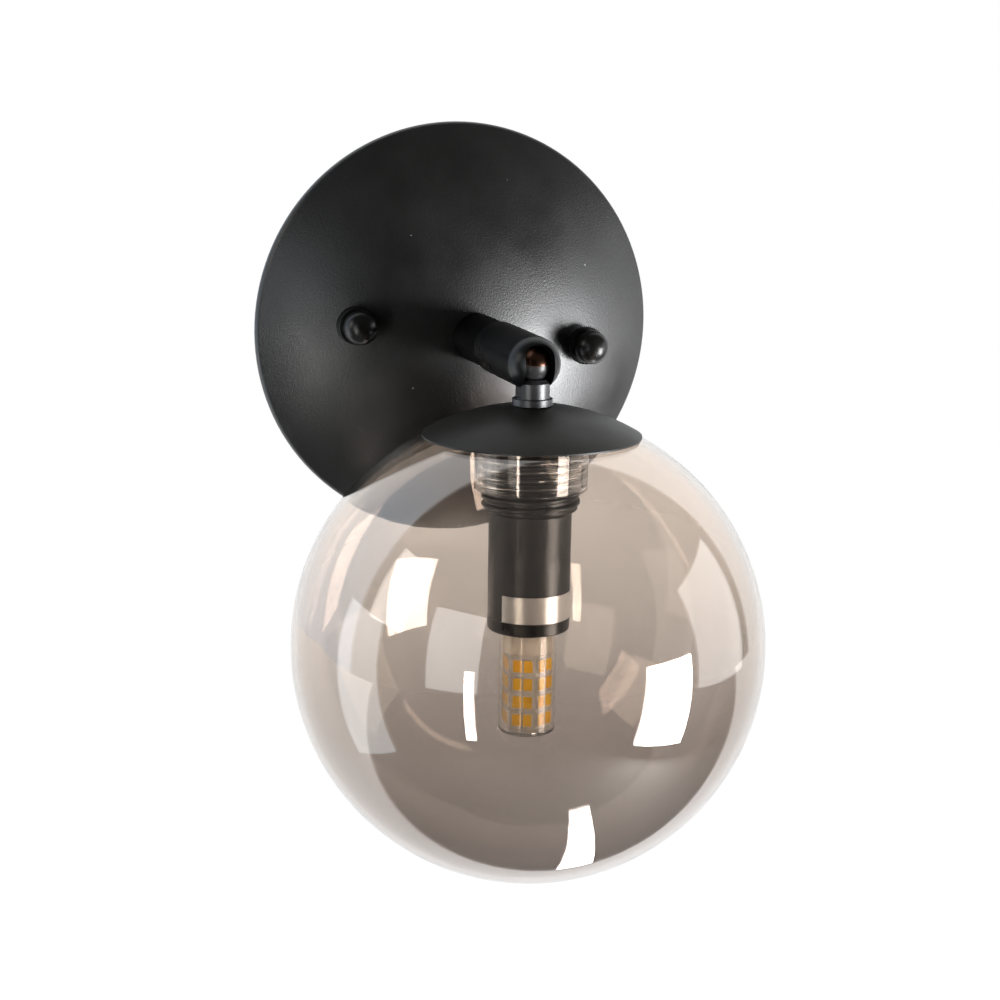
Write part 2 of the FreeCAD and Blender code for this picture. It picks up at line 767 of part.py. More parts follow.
# ---- Head ----
def pivot_ball():
    """Ball on a hollow neck, open at its back so that the leads can swing through it."""
    bottom = -(stem_top_drop + neck_length)
    solid = Part.makeSphere(ball_radius).fuse(rod(neck_radius, bottom, 0)).removeSplitter()
    solid = solid.cut(rod(lead_bore, bottom - over, 0))
    reach = ball_radius + over
    upper = Part.makeBox(2 * lead_bore, reach + lead_bore, reach, Vector(-lead_bore, -lead_bore, -weld))
    back = Part.makeBox(2 * lead_bore, reach, lead_bore + weld, Vector(-lead_bore, 0, -lead_bore))
    return moved(solid.cut(upper).cut(back), y=-arm_reach)


def ball_stem():
    top = globe_drop - stem_top_drop
    groove_top = top - stem_height
    flange_top = groove_top - stem_groove_height
    socket = top - neck_length - neck_end_gap
    hole = neck_radius + thread_clearance
    groove = stem_radius - stem_groove_depth
    bore = lead_bore + stem_bore_step
    body = turned([(hole, socket), (hole, top), (stem_radius - stem_chamfer, top),
                   (stem_radius, top - stem_chamfer), (stem_radius, groove_top),
                   (groove, groove_top), (groove, flange_top),
                   (stem_flange_radius, flange_top), (stem_flange_radius, cap_crown),
                   (shank_radius, cap_crown), (shank_radius, plate_bottom),
                   (bore, plate_bottom), (bore, socket)])
    flat_x = slot_width / 2 - stem_slot_gap
    for side in (-1, 1):
        flat = block(2 * stem_radius, 4 * stem_radius, groove_top, top + over)
        body = body.cut(moved(flat, side * (flat_x + stem_radius)))
    return on_head(body)


def globe_cap():
    """Spun cap between two spheres of one centre, with a plain rim."""
    outer_sphere = cap_inner_sphere + cap_sheet
    half = cap_radius / 2
    hole = shank_radius + washer_bore_gap

    def height(sphere, radius):
        return cap_centre + math.sqrt(sphere ** 2 - radius ** 2)

    body = turned([
        (hole, height(outer_sphere, hole)),
        (cap_radius, height(outer_sphere, cap_radius), half, height(outer_sphere, half)),
        (cap_radius, cap_rim_height), (cap_inner_rim, cap_rim_height),
        (hole, height(cap_inner_sphere, hole), half, height(cap_inner_sphere, half))])
    return on_head(body)


def cap_washer():
    return on_head(tube(washer_radius, shank_radius + washer_bore_gap, nut_top, washer_top))


def shank_nut():
    return on_head(hex_nut(shank_nut_flats, shank_radius + thread_clearance, holder_top, nut_top))


def neck_gasket():
    return on_head(Part.makeTorus(lip_across, gasket_radius, Vector(0, 0, gasket_up)))


def ridge(root, crest, middle):
    """Four corners of one thread ridge, from low to high."""
    return [(root, middle - thread_base / 2), (crest, middle - thread_crest / 2),
            (crest, middle + thread_crest / 2), (root, middle + thread_base / 2)]


def lampholder_sleeve():
    spigot = holder_radius - ring_wall
    hole = shank_radius + thread_clearance
    points = [(holder_bore, core_bottom), (spigot, core_bottom), (spigot, ring_top), (holder_radius, ring_top),
              (holder_radius, holder_shoulder - holder_shoulder_height), (holder_root_radius, holder_shoulder)]
    for i in range(holder_turns):
        points += ridge(holder_root_radius, holder_root_radius + thread_depth, lowest_ridge + i * thread_pitch)
    points += [(holder_root_radius, holder_top - holder_top_edge),
               (holder_root_radius - holder_top_edge, holder_top),
               (hole, holder_top), (hole, plate_bottom), (holder_bore, plate_bottom)]
    body = turned(points)
    for screw_hole in ring_screw_rods(ring_screw_radius + ring_screw_fit):
        body = body.cut(screw_hole)
    return on_head(body)


def ring_screw_rods(radius):
    """Two radial rods through the end ring and the sleeve's spigot, opposite each other."""
    height = (ring_top + holder_bottom + ring_floor) / 2
    radial = turned_by(rod(radius, holder_bore + weld, holder_radius + weld), 90, Vector(1, 0, 0))
    return [moved(turned_by(radial, ring_screw_turn + half_turn, Vector(0, 0, 1)), z=height)
            for half_turn in (0, 180)]


def holder_end_ring():
    floor = holder_bottom + ring_floor
    inner = holder_radius - ring_wall + ring_fit
    body = turned([(ring_opening, holder_bottom), (holder_radius - ring_edge, holder_bottom),
                   (holder_radius, holder_bottom + ring_edge), (holder_radius, ring_top), (inner, ring_top),
                   (inner, floor), (ring_opening, floor)])
    for screw_hole in ring_screw_rods(ring_screw_radius + ring_screw_fit):
        body = body.cut(screw_hole)
    return on_head(body)


def ring_screws():
    width, depth = ring_screw_slot
    slot = Part.makeBox(width, depth + over, ring_height,
                        Vector(-width / 2, -holder_radius - over, holder_bottom))
    screws = []
    for screw, half_turn in zip(ring_screw_rods(ring_screw_radius), (0, 180)):
        cutter = turned_by(slot, ring_screw_turn + half_turn, Vector(0, 0, 1))
        screws.append(on_head(screw.cut(cutter)))
    return Part.makeCompound(screws)


def rating_label():
    """Bare foil band round the front of the sleeve."""
    inner = holder_radius + label_gap
    outer = inner + label_sheet
    low = ring_top + label_ring_gap
    high = low + label_height
    half_section = section([(inner, low), (outer, low), (outer, high), (inner, high)])
    band = half_section.revolve(Vector(0, 0, 0), Vector(0, 0, 1), label_to - label_from)
    return on_head(turned_by(band, label_from - 90, Vector(0, 0, 1)))


def lampholder_core():
    """Ceramic insert with a stepped mouth for the lamp and a chamber for each contact."""
    body = rod(core_radius, core_bottom, core_top)
    body = body.cut(rod(ring_opening, core_bottom - over, mouth_end))
    pocket_x, pocket_y = (size + 2 * block_clearance for size in block_size)
    body = body.cut(block(pocket_x, pocket_y, mouth_end - over, block_top + block_clearance))
    contact_depth = 2 * (pin_wire_radius + weld / 2 + contact_blade)
    for side in (-1, 1):
        chamber = block(contact_width + 2 * chamber_gap, contact_depth + 2 * chamber_gap,
                        block_top, contact_top + chamber_gap)
        passage = rod(lead_radius + chamber_gap, contact_top, core_top + over)
        for cut in (chamber, passage):
            body = body.cut(moved(cut, side * contact_spacing / 2))
    return on_head(body)


def lampholder_contacts():
    """Two forked springs, each open downwards for one pin."""
    grip_gap = 2 * pin_wire_radius + weld
    spring = block(contact_width, grip_gap + 2 * contact_blade, contact_bottom, contact_top)
    grip = block(contact_width + over, grip_gap, contact_bottom - over, contact_top - contact_bridge)
    contact = spring.cut(grip)
    return Part.makeCompound([on_head(moved(contact, side * contact_spacing / 2)) for side in (-1, 1)])


def head_leads():
    """Live and neutral, from inside the ball down to the contacts."""
    above, below = head_lead_straight
    leads = []
    for side in (-1, 1):
        x = side * lead_offset
        reach = side * contact_spacing / 2
        path = [Vector(x, 0, globe_drop), Vector(x, 0, plate_bottom - above),
                Vector(reach, 0, core_top + below), Vector(reach, 0, contact_top)]
        leads.append(on_head(lead(path, lead_radius, head_lead_bend)))
    return Part.makeCompound(leads)


# ---- Globe ----
def glass_globe():
    """Blown sphere whose mouth turns inwards into a threaded neck, drawn as one closed half section."""
    inner_sphere = globe_radius - globe_wall
    outside = mouth_radius + mouth_wall
    fold_across = outside + mouth_inner_round
    fold_up = math.sqrt((inner_sphere - mouth_inner_round) ** 2 - fold_across ** 2)

    def on_circle(across, up, radius, angle):
        return across + radius * math.cos(angle), up + radius * math.sin(angle)

    lip_angle = math.atan2(lip_up, lip_across)
    fold_angle = math.atan2(fold_up, fold_across)
    lip_start = on_circle(lip_across, lip_up, mouth_lip_round, lip_angle)
    lip_middle = on_circle(lip_across, lip_up, mouth_lip_round, (lip_angle + math.pi) / 2)
    fold_start = on_circle(fold_across, fold_up, mouth_inner_round, math.pi)
    fold_middle = on_circle(fold_across, fold_up, mouth_inner_round, (fold_angle + math.pi) / 2)
    fold_end = on_circle(fold_across, fold_up, mouth_inner_round, fold_angle)

    # The neck's ridges lie half a pitch off the holder's.
    first = mouth_bottom + thread_pitch - (mouth_bottom - lowest_ridge - thread_pitch / 2) % thread_pitch
    turns = int((lip_up - thread_base / 2 - first) / thread_pitch) + 1
    points = [(0, -globe_radius), (*lip_start, globe_radius, 0), (mouth_radius, lip_up, *lip_middle)]
    for i in reversed(range(turns)):
        points += ridge(mouth_radius, mouth_radius - thread_depth, first + i * thread_pitch)[::-1]
    points += [(mouth_radius, mouth_bottom), (outside, mouth_bottom), fold_start,
               (*fold_end, *fold_middle), (0, -inner_sphere, inner_sphere, 0)]
    return on_head(turned(points))


# ---- Plug-in lamp ----
def bulb_base():
    body = rod(base_radius, base_bottom, base_shoulder)
    return on_head(body.fuse(block(*block_size, base_shoulder - weld, block_top)).removeSplitter())


def bulb_pins():
    """Two wire loops that plug into the contacts."""
    straight = pin_top - pin_half_width - pin_wire_radius
    leg = rod(pin_wire_radius, block_top, straight)
    bow = Part.makeTorus(pin_half_width, pin_wire_radius, Vector(0, 0, straight), Vector(0, 1, 0))
    size = 4 * (pin_half_width + pin_wire_radius)
    bow = bow.common(block(size, size, straight, pin_top + over))
    loop = moved(leg, -pin_half_width).fuse([moved(leg, pin_half_width), bow]).removeSplitter()
    return Part.makeCompound([on_head(moved(loop, side * contact_spacing / 2)) for side in (-1, 1)])


def led_core():
    """Six-sided board tube, closed at its lower end, with one corner to the front."""
    outer = polygon_rod(hexagon(board_apothem, board_turn), board_bottom, base_bottom)
    inner = polygon_rod(hexagon(board_apothem - board_sheet, board_turn),
                        board_bottom + board_sheet, base_bottom + over)
    return on_head(outer.cut(inner))


def led_chips():
    """Two columns on each side of the board and a few chips on its end."""
    chips = []
    for side in range(6):
        for left in (chip_gap / 2, -chip_gap / 2 - chip_width):
            for row in range(chip_rows):
                low = first_row - row * chip_row_pitch - chip_height / 2
                chip = Part.makeBox(chip_width, chip_depth, chip_height,
                                    Vector(left, -board_apothem - chip_depth, low))
                chips.append(on_head(turned_by(chip, board_turn + 60 * side, Vector(0, 0, 1))))
    flat_chip = block(chip_width, chip_height, board_bottom - chip_depth, board_bottom)
    for i in range(end_chips):
        chip = turned_by(moved(flat_chip, y=-end_chip_radius), 360 / end_chips * i, Vector(0, 0, 1))
        chips.append(on_head(chip))
    return Part.makeCompound(chips)


def bulb_cover():
    """Clear cup with a rounded lower edge."""
    inner_bottom = cover_bottom + cover_wall
    inner_corner = cover_corner - cover_wall / 2
    short = 1 - math.sqrt(0.5)           # how far an arc's middle lies inside its corner, per radius
    outer_cut, inner_cut = cover_corner * short, inner_corner * short
    return on_head(turned([
        (0, cover_bottom), (cover_radius - cover_corner, cover_bottom),
        (cover_radius, cover_bottom + cover_corner, cover_radius - outer_cut, cover_bottom + outer_cut),
        (cover_radius, cover_rim), (cover_bore, cover_rim), (cover_bore, inner_bottom + inner_corner),
        (cover_bore - inner_corner, inner_bottom, cover_bore - inner_cut, inner_bottom + inner_cut),
        (0, inner_bottom)]))


pieces = {
    "backplate": backplate,
    "wall_crossbar": wall_crossbar,
    "canopy_studs": canopy_studs,
    "stud_nuts": stud_nuts,
    "earth_washer": earth_washer,
    "earth_screw": earth_screw,
    "earth_lead": earth_lead,
    "terminal_block": terminal_block,
    "terminal_tubes": terminal_tubes,
    "terminal_screws": terminal_screws,
    "block_screw": block_screw,
    "supply_leads": supply_leads,
    "arm_nipple": arm_nipple,
    "arm_washer": arm_washer,
    "arm_lock_nut": arm_lock_nut,
    "arm_tube": arm_tube,
    "swivel_grub_screw": swivel_grub_screw,
    "swivel_washer": swivel_washer,
    "ball_nut_left": lambda: ball_nut(-1),
    "ball_nut_right": lambda: ball_nut(1),
    "knuckle_housing": knuckle_housing,
    "knuckle_spigot": knuckle_spigot,
    "disc_springs": disc_springs,
    "ball_seat": ball_seat,
    "pivot_ball": pivot_ball,
    "ball_stem": ball_stem,
    "globe_cap": globe_cap,
    "cap_washer": cap_washer,
    "shank_nut": shank_nut,
    "neck_gasket": neck_gasket,
    "lampholder_sleeve": lampholder_sleeve,
    "lampholder_core": lampholder_core,
    "lampholder_contacts": lampholder_contacts,
    "holder_end_ring": holder_end_ring,
    "ring_screws": ring_screws,
    "rating_label": rating_label,
    "head_leads": head_leads,
    "glass_globe": glass_globe,
    "bulb_base": bulb_base,
    "bulb_pins": bulb_pins,
    "led_core": led_core,
    "led_chips": led_chips,
    "bulb_cover": bulb_cover,
}

os.makedirs("parts", exist_ok=True)
for name, make in pieces.items():
    shape = make()
    shape.exportStep("parts/" + name + ".step")
    print(name, len(shape.Solids), "solids,", round(shape.Volume, 1), "mm3, valid", shape.isValid())
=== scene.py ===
import math

import bpy
from mathutils import Matrix, Vector


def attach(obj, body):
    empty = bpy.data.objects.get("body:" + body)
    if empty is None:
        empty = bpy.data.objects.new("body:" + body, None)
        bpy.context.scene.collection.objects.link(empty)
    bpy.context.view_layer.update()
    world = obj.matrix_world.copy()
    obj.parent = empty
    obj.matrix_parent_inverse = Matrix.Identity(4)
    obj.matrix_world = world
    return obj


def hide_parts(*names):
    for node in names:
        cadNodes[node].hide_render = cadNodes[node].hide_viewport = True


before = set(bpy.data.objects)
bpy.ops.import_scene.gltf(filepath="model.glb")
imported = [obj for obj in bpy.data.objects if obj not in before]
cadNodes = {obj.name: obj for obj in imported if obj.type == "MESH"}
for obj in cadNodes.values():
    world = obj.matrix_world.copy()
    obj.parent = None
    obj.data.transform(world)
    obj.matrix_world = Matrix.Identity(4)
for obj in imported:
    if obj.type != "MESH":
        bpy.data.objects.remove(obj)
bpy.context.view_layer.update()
print("frame loaded:", len(cadNodes), "nodes")

mm = 0.001
globeCentre = Vector((0, -78.0, -84.00892)) * mm


# small helpers for node trees

def addNode(tree, kind, inputs=None, **settings):
    node = tree.nodes.new(kind)
    for name, value in settings.items():
        setattr(node, name, value)
    for key, value in (inputs or {}).items():
        if isinstance(value, bpy.types.NodeSocket):
            tree.links.new(value, node.inputs[key])
        else:
            node.inputs[key].default_value = value
    return node


def mathNode(tree, operation, *values, clamp=False):
    node = addNode(tree, "ShaderNodeMath", dict(enumerate(values)), operation=operation, use_clamp=clamp)
    return node.outputs[0]


def mixColours(tree, share, first, second, blend="MIX"):
    node = addNode(tree, "ShaderNodeMix", {0: share, 6: first, 7: second}, data_type="RGBA", blend_type=blend)
    return node.outputs[2]


def mapRange(tree, value, fromLow, fromHigh, toLow, toHigh, kind="LINEAR"):
    inputs = {0: value, 1: fromLow, 2: fromHigh, 3: toLow, 4: toHigh}
    return addNode(tree, "ShaderNodeMapRange", inputs, interpolation_type=kind).outputs[0]


def newTree(name, kind, inputs, outputs):
    tree = bpy.data.node_groups.new(name, kind)
    for direction, sockets in (("INPUT", inputs), ("OUTPUT", outputs)):
        for socketName, socketType, value in sockets:
            socket = tree.interface.new_socket(name=socketName, in_out=direction,
                                               socket_type="NodeSocket" + socketType)
            if value is not None:
                socket.default_value = value
    entry = tree.nodes.new("NodeGroupInput")
    leave = tree.nodes.new("NodeGroupOutput")
    return tree, entry.outputs, leave.inputs


# shader groups shared by the finishes

def makeGrainGroup():
    tree, given, result = newTree("surfaceGrain", "ShaderNodeTree",
                                  [("Size", "Float", 0.0004), ("Patch Size", "Float", 0.02)],
                                  [("Height", "Float", None), ("Tone", "Float", None)])
    place = addNode(tree, "ShaderNodeTexCoord").outputs["Object"]
    fine = addNode(tree, "ShaderNodeVectorMath", {0: place, 3: mathNode(tree, "DIVIDE", 1.0, given["Size"])},
                   operation="SCALE").outputs[0]
    broad = addNode(tree, "ShaderNodeVectorMath",
                    {0: place, 3: mathNode(tree, "DIVIDE", 1.0, given["Patch Size"])},
                    operation="SCALE").outputs[0]
    pits = addNode(tree, "ShaderNodeTexNoise", {"Vector": fine, "Scale": 1.0, "Detail": 2.0,
                                                "Roughness": 0.55})
    patches = addNode(tree, "ShaderNodeTexNoise",
                      {"Vector": broad, "Scale": 1.0, "Detail": 3.0, "Roughness": 0.5})
    tree.links.new(pits.outputs[0], result["Height"])
    tree.links.new(patches.outputs[0], result["Tone"])
    return tree


def makeDustGroup():
    tree, given, result = newTree("dustSpecks", "ShaderNodeTree",
                                  [("Spacing", "Float", 0.004), ("Speck Size", "Float", 0.05),
                                   ("Share", "Float", 0.2)],
                                  [("Mask", "Float", None)])
    place = addNode(tree, "ShaderNodeTexCoord").outputs["Object"]
    cells = addNode(tree, "ShaderNodeVectorMath",
                    {0: place, 3: mathNode(tree, "DIVIDE", 1.0, given["Spacing"])},
                    operation="SCALE").outputs[0]
    specks = addNode(tree, "ShaderNodeTexVoronoi", {"Vector": cells, "Scale": 1.0, "Randomness": 1.0})
    chance = addNode(tree, "ShaderNodeSeparateColor", {0: specks.outputs["Color"]})
    present = mathNode(tree, "LESS_THAN", chance.outputs[0], given["Share"])
    size = mathNode(tree, "MULTIPLY", given["Speck Size"], mathNode(tree, "ADD", chance.outputs[1], 0.35))
    inside = mapRange(tree, mathNode(tree, "DIVIDE", specks.outputs["Distance"], size), 0.6, 1.0, 1.0, 0.0)
    tree.links.new(mathNode(tree, "MULTIPLY", present, inside), result["Mask"])
    return tree


def makeMarksGroup():
    # drawn or turned lines, stretched along the axis whose size is large
    tree, given, result = newTree("toolMarks", "ShaderNodeTree",
                                  [("Size X", "Float", 0.01), ("Size Y", "Float", 0.01),
                                   ("Size Z", "Float", 0.0002)],
                                  [("Height", "Float", None)])
    place = addNode(tree, "ShaderNodeTexCoord").outputs["Object"]
    size = addNode(tree, "ShaderNodeCombineXYZ", {0: given["Size X"], 1: given["Size Y"], 2: given["Size Z"]})
    lines = addNode(tree, "ShaderNodeVectorMath", {0: place, 1: size.outputs[0]},
                    operation="DIVIDE").outputs[0]
    noise = addNode(tree, "ShaderNodeTexNoise",
                    {"Vector": lines, "Scale": 1.0, "Detail": 3.0, "Roughness": 0.6})
    tree.links.new(noise.outputs[0], result["Height"])
    return tree


grainGroup = makeGrainGroup()
dustGroup = makeDustGroup()
marksGroup = makeMarksGroup()


def useGroup(tree, group, **values):
    node = tree.nodes.new("ShaderNodeGroup")
    node.node_tree = group
    for name, value in values.items():
        node.inputs[name.replace("_", " ")].default_value = value
    return node.outputs


def startMaterial(name):
    material = bpy.data.materials.new(name)
    material.use_nodes = True
    tree = material.node_tree
    return material, tree, tree.nodes["Principled BSDF"]


def makeFinish(name, colour, roughness, metallic=0.0, specular=0.5,
               grainSize=0.0004, grainDepth=0.00001, patchSize=0.02, patchTone=0.12, patchRough=0.06,
               dustShare=0.0, dustSize=0.05, dustSpacing=0.004, dustColour=(0.35, 0.34, 0.32, 1),
               marks=None, marksDepth=0.000004):
    material, tree, shader = startMaterial(name)
    grain = useGroup(tree, grainGroup, Size=grainSize, Patch_Size=patchSize)
    tone = mapRange(tree, grain["Tone"], 0.3, 0.7, 1 - patchTone, 1 + patchTone)
    speck = mapRange(tree, grain["Height"], 0.35, 0.65, 1 - patchTone * 0.7, 1 + patchTone * 0.7)
    shade = mathNode(tree, "MULTIPLY", tone, speck)
    paint = addNode(tree, "ShaderNodeVectorMath", {0: colour[:3], 3: shade}, operation="SCALE").outputs[0]
    if dustShare:
        dust = useGroup(tree, dustGroup, Spacing=dustSpacing, Speck_Size=dustSize, Share=dustShare)
        paint = mixColours(tree, dust["Mask"], paint, dustColour)
    tree.links.new(paint, shader.inputs["Base Color"])
    rough = mapRange(tree, grain["Tone"], 0.3, 0.7, roughness - patchRough, roughness + patchRough)
    tree.links.new(rough, shader.inputs["Roughness"])
    bump = addNode(tree, "ShaderNodeBump", {"Height": grain["Height"], "Strength": 1.0,
                                            "Distance": grainDepth})
    if marks:
        lines = useGroup(tree, marksGroup, Size_X=marks[0], Size_Y=marks[1], Size_Z=marks[2])
        bump = addNode(tree, "ShaderNodeBump", {"Height": lines["Height"], "Strength": 1.0,
                                                "Distance": marksDepth,
                                                "Normal": bump.outputs[0]})
    tree.links.new(bump.outputs[0], shader.inputs["Normal"])
    shader.inputs["Metallic"].default_value = metallic
    shader.inputs["Specular IOR Level"].default_value = specular
    return material


# finishes

powderCoat = {
    "colour": (0.008, 0.0079, 0.0076), "roughness": 0.38, "grainSize": 0.0006, "grainDepth": 0.00006,
    "specular": 0.8,
    "dustShare": 0.16, "dustSize": 0.045, "dustSpacing": 0.0065, "dustColour": (0.30, 0.29, 0.28, 1),
}
plateCoat = makeFinish("platePowderCoat", **powderCoat)
capCoat = makeFinish("capPowderCoat", **{**powderCoat, "colour": (0.015, 0.0132, 0.0098), "roughness": 0.44,
                                         "specular": 0.42, "grainDepth": 0.00005})
# the arm's coat is a much darker copy of the black paint: painted shade, for an arm that stands in shadow
armCoatPaintedShade = makeFinish("armCoatPaintedShade", (0.0012, 0.0012, 0.0012), 0.45, specular=0.12, grainSize=0.0003,
                      grainDepth=0.00001,
                      dustShare=0.05, dustSize=0.05, dustSpacing=0.003)
# the stem's paint is a lighter copy of the satin black: its extra lightness is painted sheen for the stem's
# bright side
stemCoatPaintedSheen = makeFinish("stemCoatPaintedSheen", (0.022, 0.022, 0.024), 0.38, specular=1.0, grainSize=0.0003,
                       grainDepth=0.00001, dustShare=0.05, dustSize=0.05, dustSpacing=0.003)
satinPaint = makeFinish("satinPaint", (0.004, 0.004, 0.0046), 0.30, specular=0.4, grainSize=0.0003,
                        grainDepth=0.00001,
                        dustShare=0.06, dustSize=0.05, dustSpacing=0.003)
glossPaint = makeFinish("glossPaint", (0.006, 0.0058, 0.0052), 0.30, grainSize=0.0006, grainDepth=0.000006,
                        patchRough=0.03, dustShare=0.05, dustSize=0.06, dustSpacing=0.0015)
# the ring screws' steel is a darkened copy of the zinc-plated steel: painted shade for screws that sit dark
# in their recesses
screwSteelPaintedShade = makeFinish("screwSteelPaintedShade", (0.07, 0.07, 0.072), 0.36, metallic=1.0, grainSize=0.0003,
                       grainDepth=0.000004,
                       patchSize=0.002, marks=(0.01, 0.01, 0.0002))
zincSteel = makeFinish("zincPlatedSteel", (0.62, 0.63, 0.64), 0.34, metallic=1.0, grainSize=0.0006,
                       grainDepth=0.000006, patchSize=0.005, patchTone=0.1, patchRough=0.1,
                       marks=(0.02, 0.0004, 0.02))
brass = makeFinish("turnedBrass", (0.75, 0.58, 0.28), 0.28, metallic=1.0, grainSize=0.0005,
                   grainDepth=0.000004,
                   patchSize=0.006, marks=(0.02, 0.0003, 0.02))
blockPlastic = makeFinish("blockPlastic", (0.80, 0.80, 0.76), 0.42, grainSize=0.0002, grainDepth=0.000006,
                          patchTone=0.03)
leadSheath = makeFinish("leadSheath", (0.72, 0.71, 0.69), 0.4, grainSize=0.0003, grainDepth=0.00001,
                        patchTone=0.05)
earthSheath = makeFinish("earthSheath", (0.2, 0.45, 0.12), 0.4, grainSize=0.0003, grainDepth=0.00001,
                         patchTone=0.06)
blackNylon = makeFinish("blackNylon", (0.03, 0.03, 0.03), 0.5, grainSize=0.0003, grainDepth=0.00001)
silicone = makeFinish("silicone", (0.72, 0.72, 0.71), 0.45, grainSize=0.0003, grainDepth=0.000008,
                      patchTone=0.04)
holderPlastic = makeFinish("holderPlastic", (0.010, 0.0092, 0.0085), 0.40, grainSize=0.0005,
                           grainDepth=0.00001,
                           patchSize=0.012, patchTone=0.2, dustShare=0.1, dustSpacing=0.005, dustSize=0.04,
                           marks=(0.004, 0.004, 0.03), marksDepth=0.00001)
ceramic = makeFinish("bareCeramic", (0.82, 0.80, 0.75), 0.7, grainSize=0.0004, grainDepth=0.00004,
                     patchTone=0.05,
                     dustShare=0.2, dustSpacing=0.002, dustSize=0.08, dustColour=(0.35, 0.3, 0.25, 1))
lampWhite = makeFinish("lampBasePlastic", (0.72, 0.66, 0.58), 0.38, grainSize=0.0003, grainDepth=0.000006,
                       patchTone=0.05)
pinWire = makeFinish("pinWire", (0.7, 0.7, 0.7), 0.25, metallic=1.0, grainSize=0.0003, grainDepth=0.000004,
                     marks=(0.0002, 0.0002, 0.01))
labelFoil = makeFinish("labelFoil", (0.74, 0.72, 0.68), 0.34, metallic=0.85, grainSize=0.00012,
                       grainDepth=0.000002,
                       patchSize=0.012, patchTone=0.03, patchRough=0.04, marks=(0.02, 0.02, 0.00012),
                       marksDepth=0.000004)
ledBoard = makeFinish("ledBoard", (0.60, 0.56, 0.52), 0.35, grainSize=0.0006, grainDepth=0.00001,
                      patchSize=0.003,
                      patchTone=0.12)
chipFrame = makeFinish("chipFrame", (0.74, 0.72, 0.68), 0.4, grainSize=0.0003, grainDepth=0.000005,
                       patchTone=0.04)


phosphorLook = {"deep": (0.95, 0.45, 0.015, 1), "pale": (1.0, 0.60, 0.05, 1), "chipShare": 0.6,
                "grainSize": 0.00025,
                "patchSize": 0.002, "grainDepth": 0.00001, "roughness": 0.3}


def makePhosphor(look):
    # every chip has its own tone, from the chipTone attribute
    material, tree, shader = startMaterial("phosphor")
    grain = useGroup(tree, grainGroup, Size=look["grainSize"], Patch_Size=look["patchSize"])
    tone = addNode(tree, "ShaderNodeAttribute", attribute_name="chipTone").outputs["Fac"]
    byChip = mathNode(tree, "MULTIPLY", tone, look["chipShare"])
    byPatch = mathNode(tree, "MULTIPLY", grain["Tone"], 1 - look["chipShare"])
    colour = mixColours(tree, mathNode(tree, "ADD", byChip, byPatch), look["deep"], look["pale"])
    tree.links.new(colour, shader.inputs["Base Color"])
    bump = addNode(tree, "ShaderNodeBump", {"Height": grain["Height"], "Strength": 1.0,
                                            "Distance": look["grainDepth"]})
    tree.links.new(bump.outputs[0], shader.inputs["Normal"])
    shader.inputs["Roughness"].default_value = look["roughness"]
    return material


ballLook = {"darkBronze": (0.075, 0.037, 0.024, 1), "paleBronze": (0.17, 0.086, 0.057, 1),
            "paint": (0.03, 0.03, 0.03, 1), "paintEdge": (-0.0003, 0.0001), "edgeWander": 0.0006,
            "bronzeRoughness": 0.24, "paintRoughness": 0.34,
            "grainSize": 0.0004, "patchSize": 0.003, "grainDepth": 0.000008}


def makeBallFinish(look):
    # dark bronze above, painted from the pivot's height down
    material, tree, shader = startMaterial("bronzeBall")
    place = addNode(tree, "ShaderNodeTexCoord").outputs["Object"]
    height = addNode(tree, "ShaderNodeSeparateXYZ", {0: place}).outputs["Z"]
    grain = useGroup(tree, grainGroup, Size=look["grainSize"], Patch_Size=look["patchSize"])
    edge = mathNode(tree, "MULTIPLY", mathNode(tree, "SUBTRACT", grain["Tone"], 0.5), look["edgeWander"])
    painted = mapRange(tree, mathNode(tree, "ADD", height, edge), *look["paintEdge"], 1.0, 0.0)
    bronze = mixColours(tree, mapRange(tree, grain["Tone"], 0.35, 0.65, 0.0, 1.0),
                        look["darkBronze"], look["paleBronze"])
    tree.links.new(mixColours(tree, painted, bronze, look["paint"]), shader.inputs["Base Color"])
    tree.links.new(mathNode(tree, "SUBTRACT", 1.0, painted), shader.inputs["Metallic"])
    rough = mapRange(tree, painted, 0.0, 1.0, look["bronzeRoughness"], look["paintRoughness"])
    tree.links.new(rough, shader.inputs["Roughness"])
    bump = addNode(tree, "ShaderNodeBump", {"Height": grain["Height"], "Strength": 1.0,
                                            "Distance": look["grainDepth"]})
    tree.links.new(bump.outputs[0], shader.inputs["Normal"])
    return material


# the tint runs from low to high over span, two heights in metres; neck is clearer inside its two radii
smokeLook = {
    "high": (0.94, 0.86, 0.79, 1), "low": (0.47, 0.415, 0.38, 1), "span": (-0.150, -0.035), "cloud": 0.03,
    "waveSize": 0.012, "cloudSize": 0.03, "waveDepth": 0.00002, "metallic": 0.05, "roughness": 0.0,
    "ior": 1.75,
    "neckTint": (0.99, 0.985, 0.975, 1), "neckRadii": (0.0170, 0.0205),
}
clearLook = {
    "high": (0.97, 0.95, 0.92, 1), "low": (0.96, 0.94, 0.90, 1), "span": (-0.11, -0.07), "cloud": 0.03,
    "waveSize": 0.012, "cloudSize": 0.03, "waveDepth": 0.00001, "metallic": 0.0, "roughness": 0.02,
    "ior": 1.49,
}


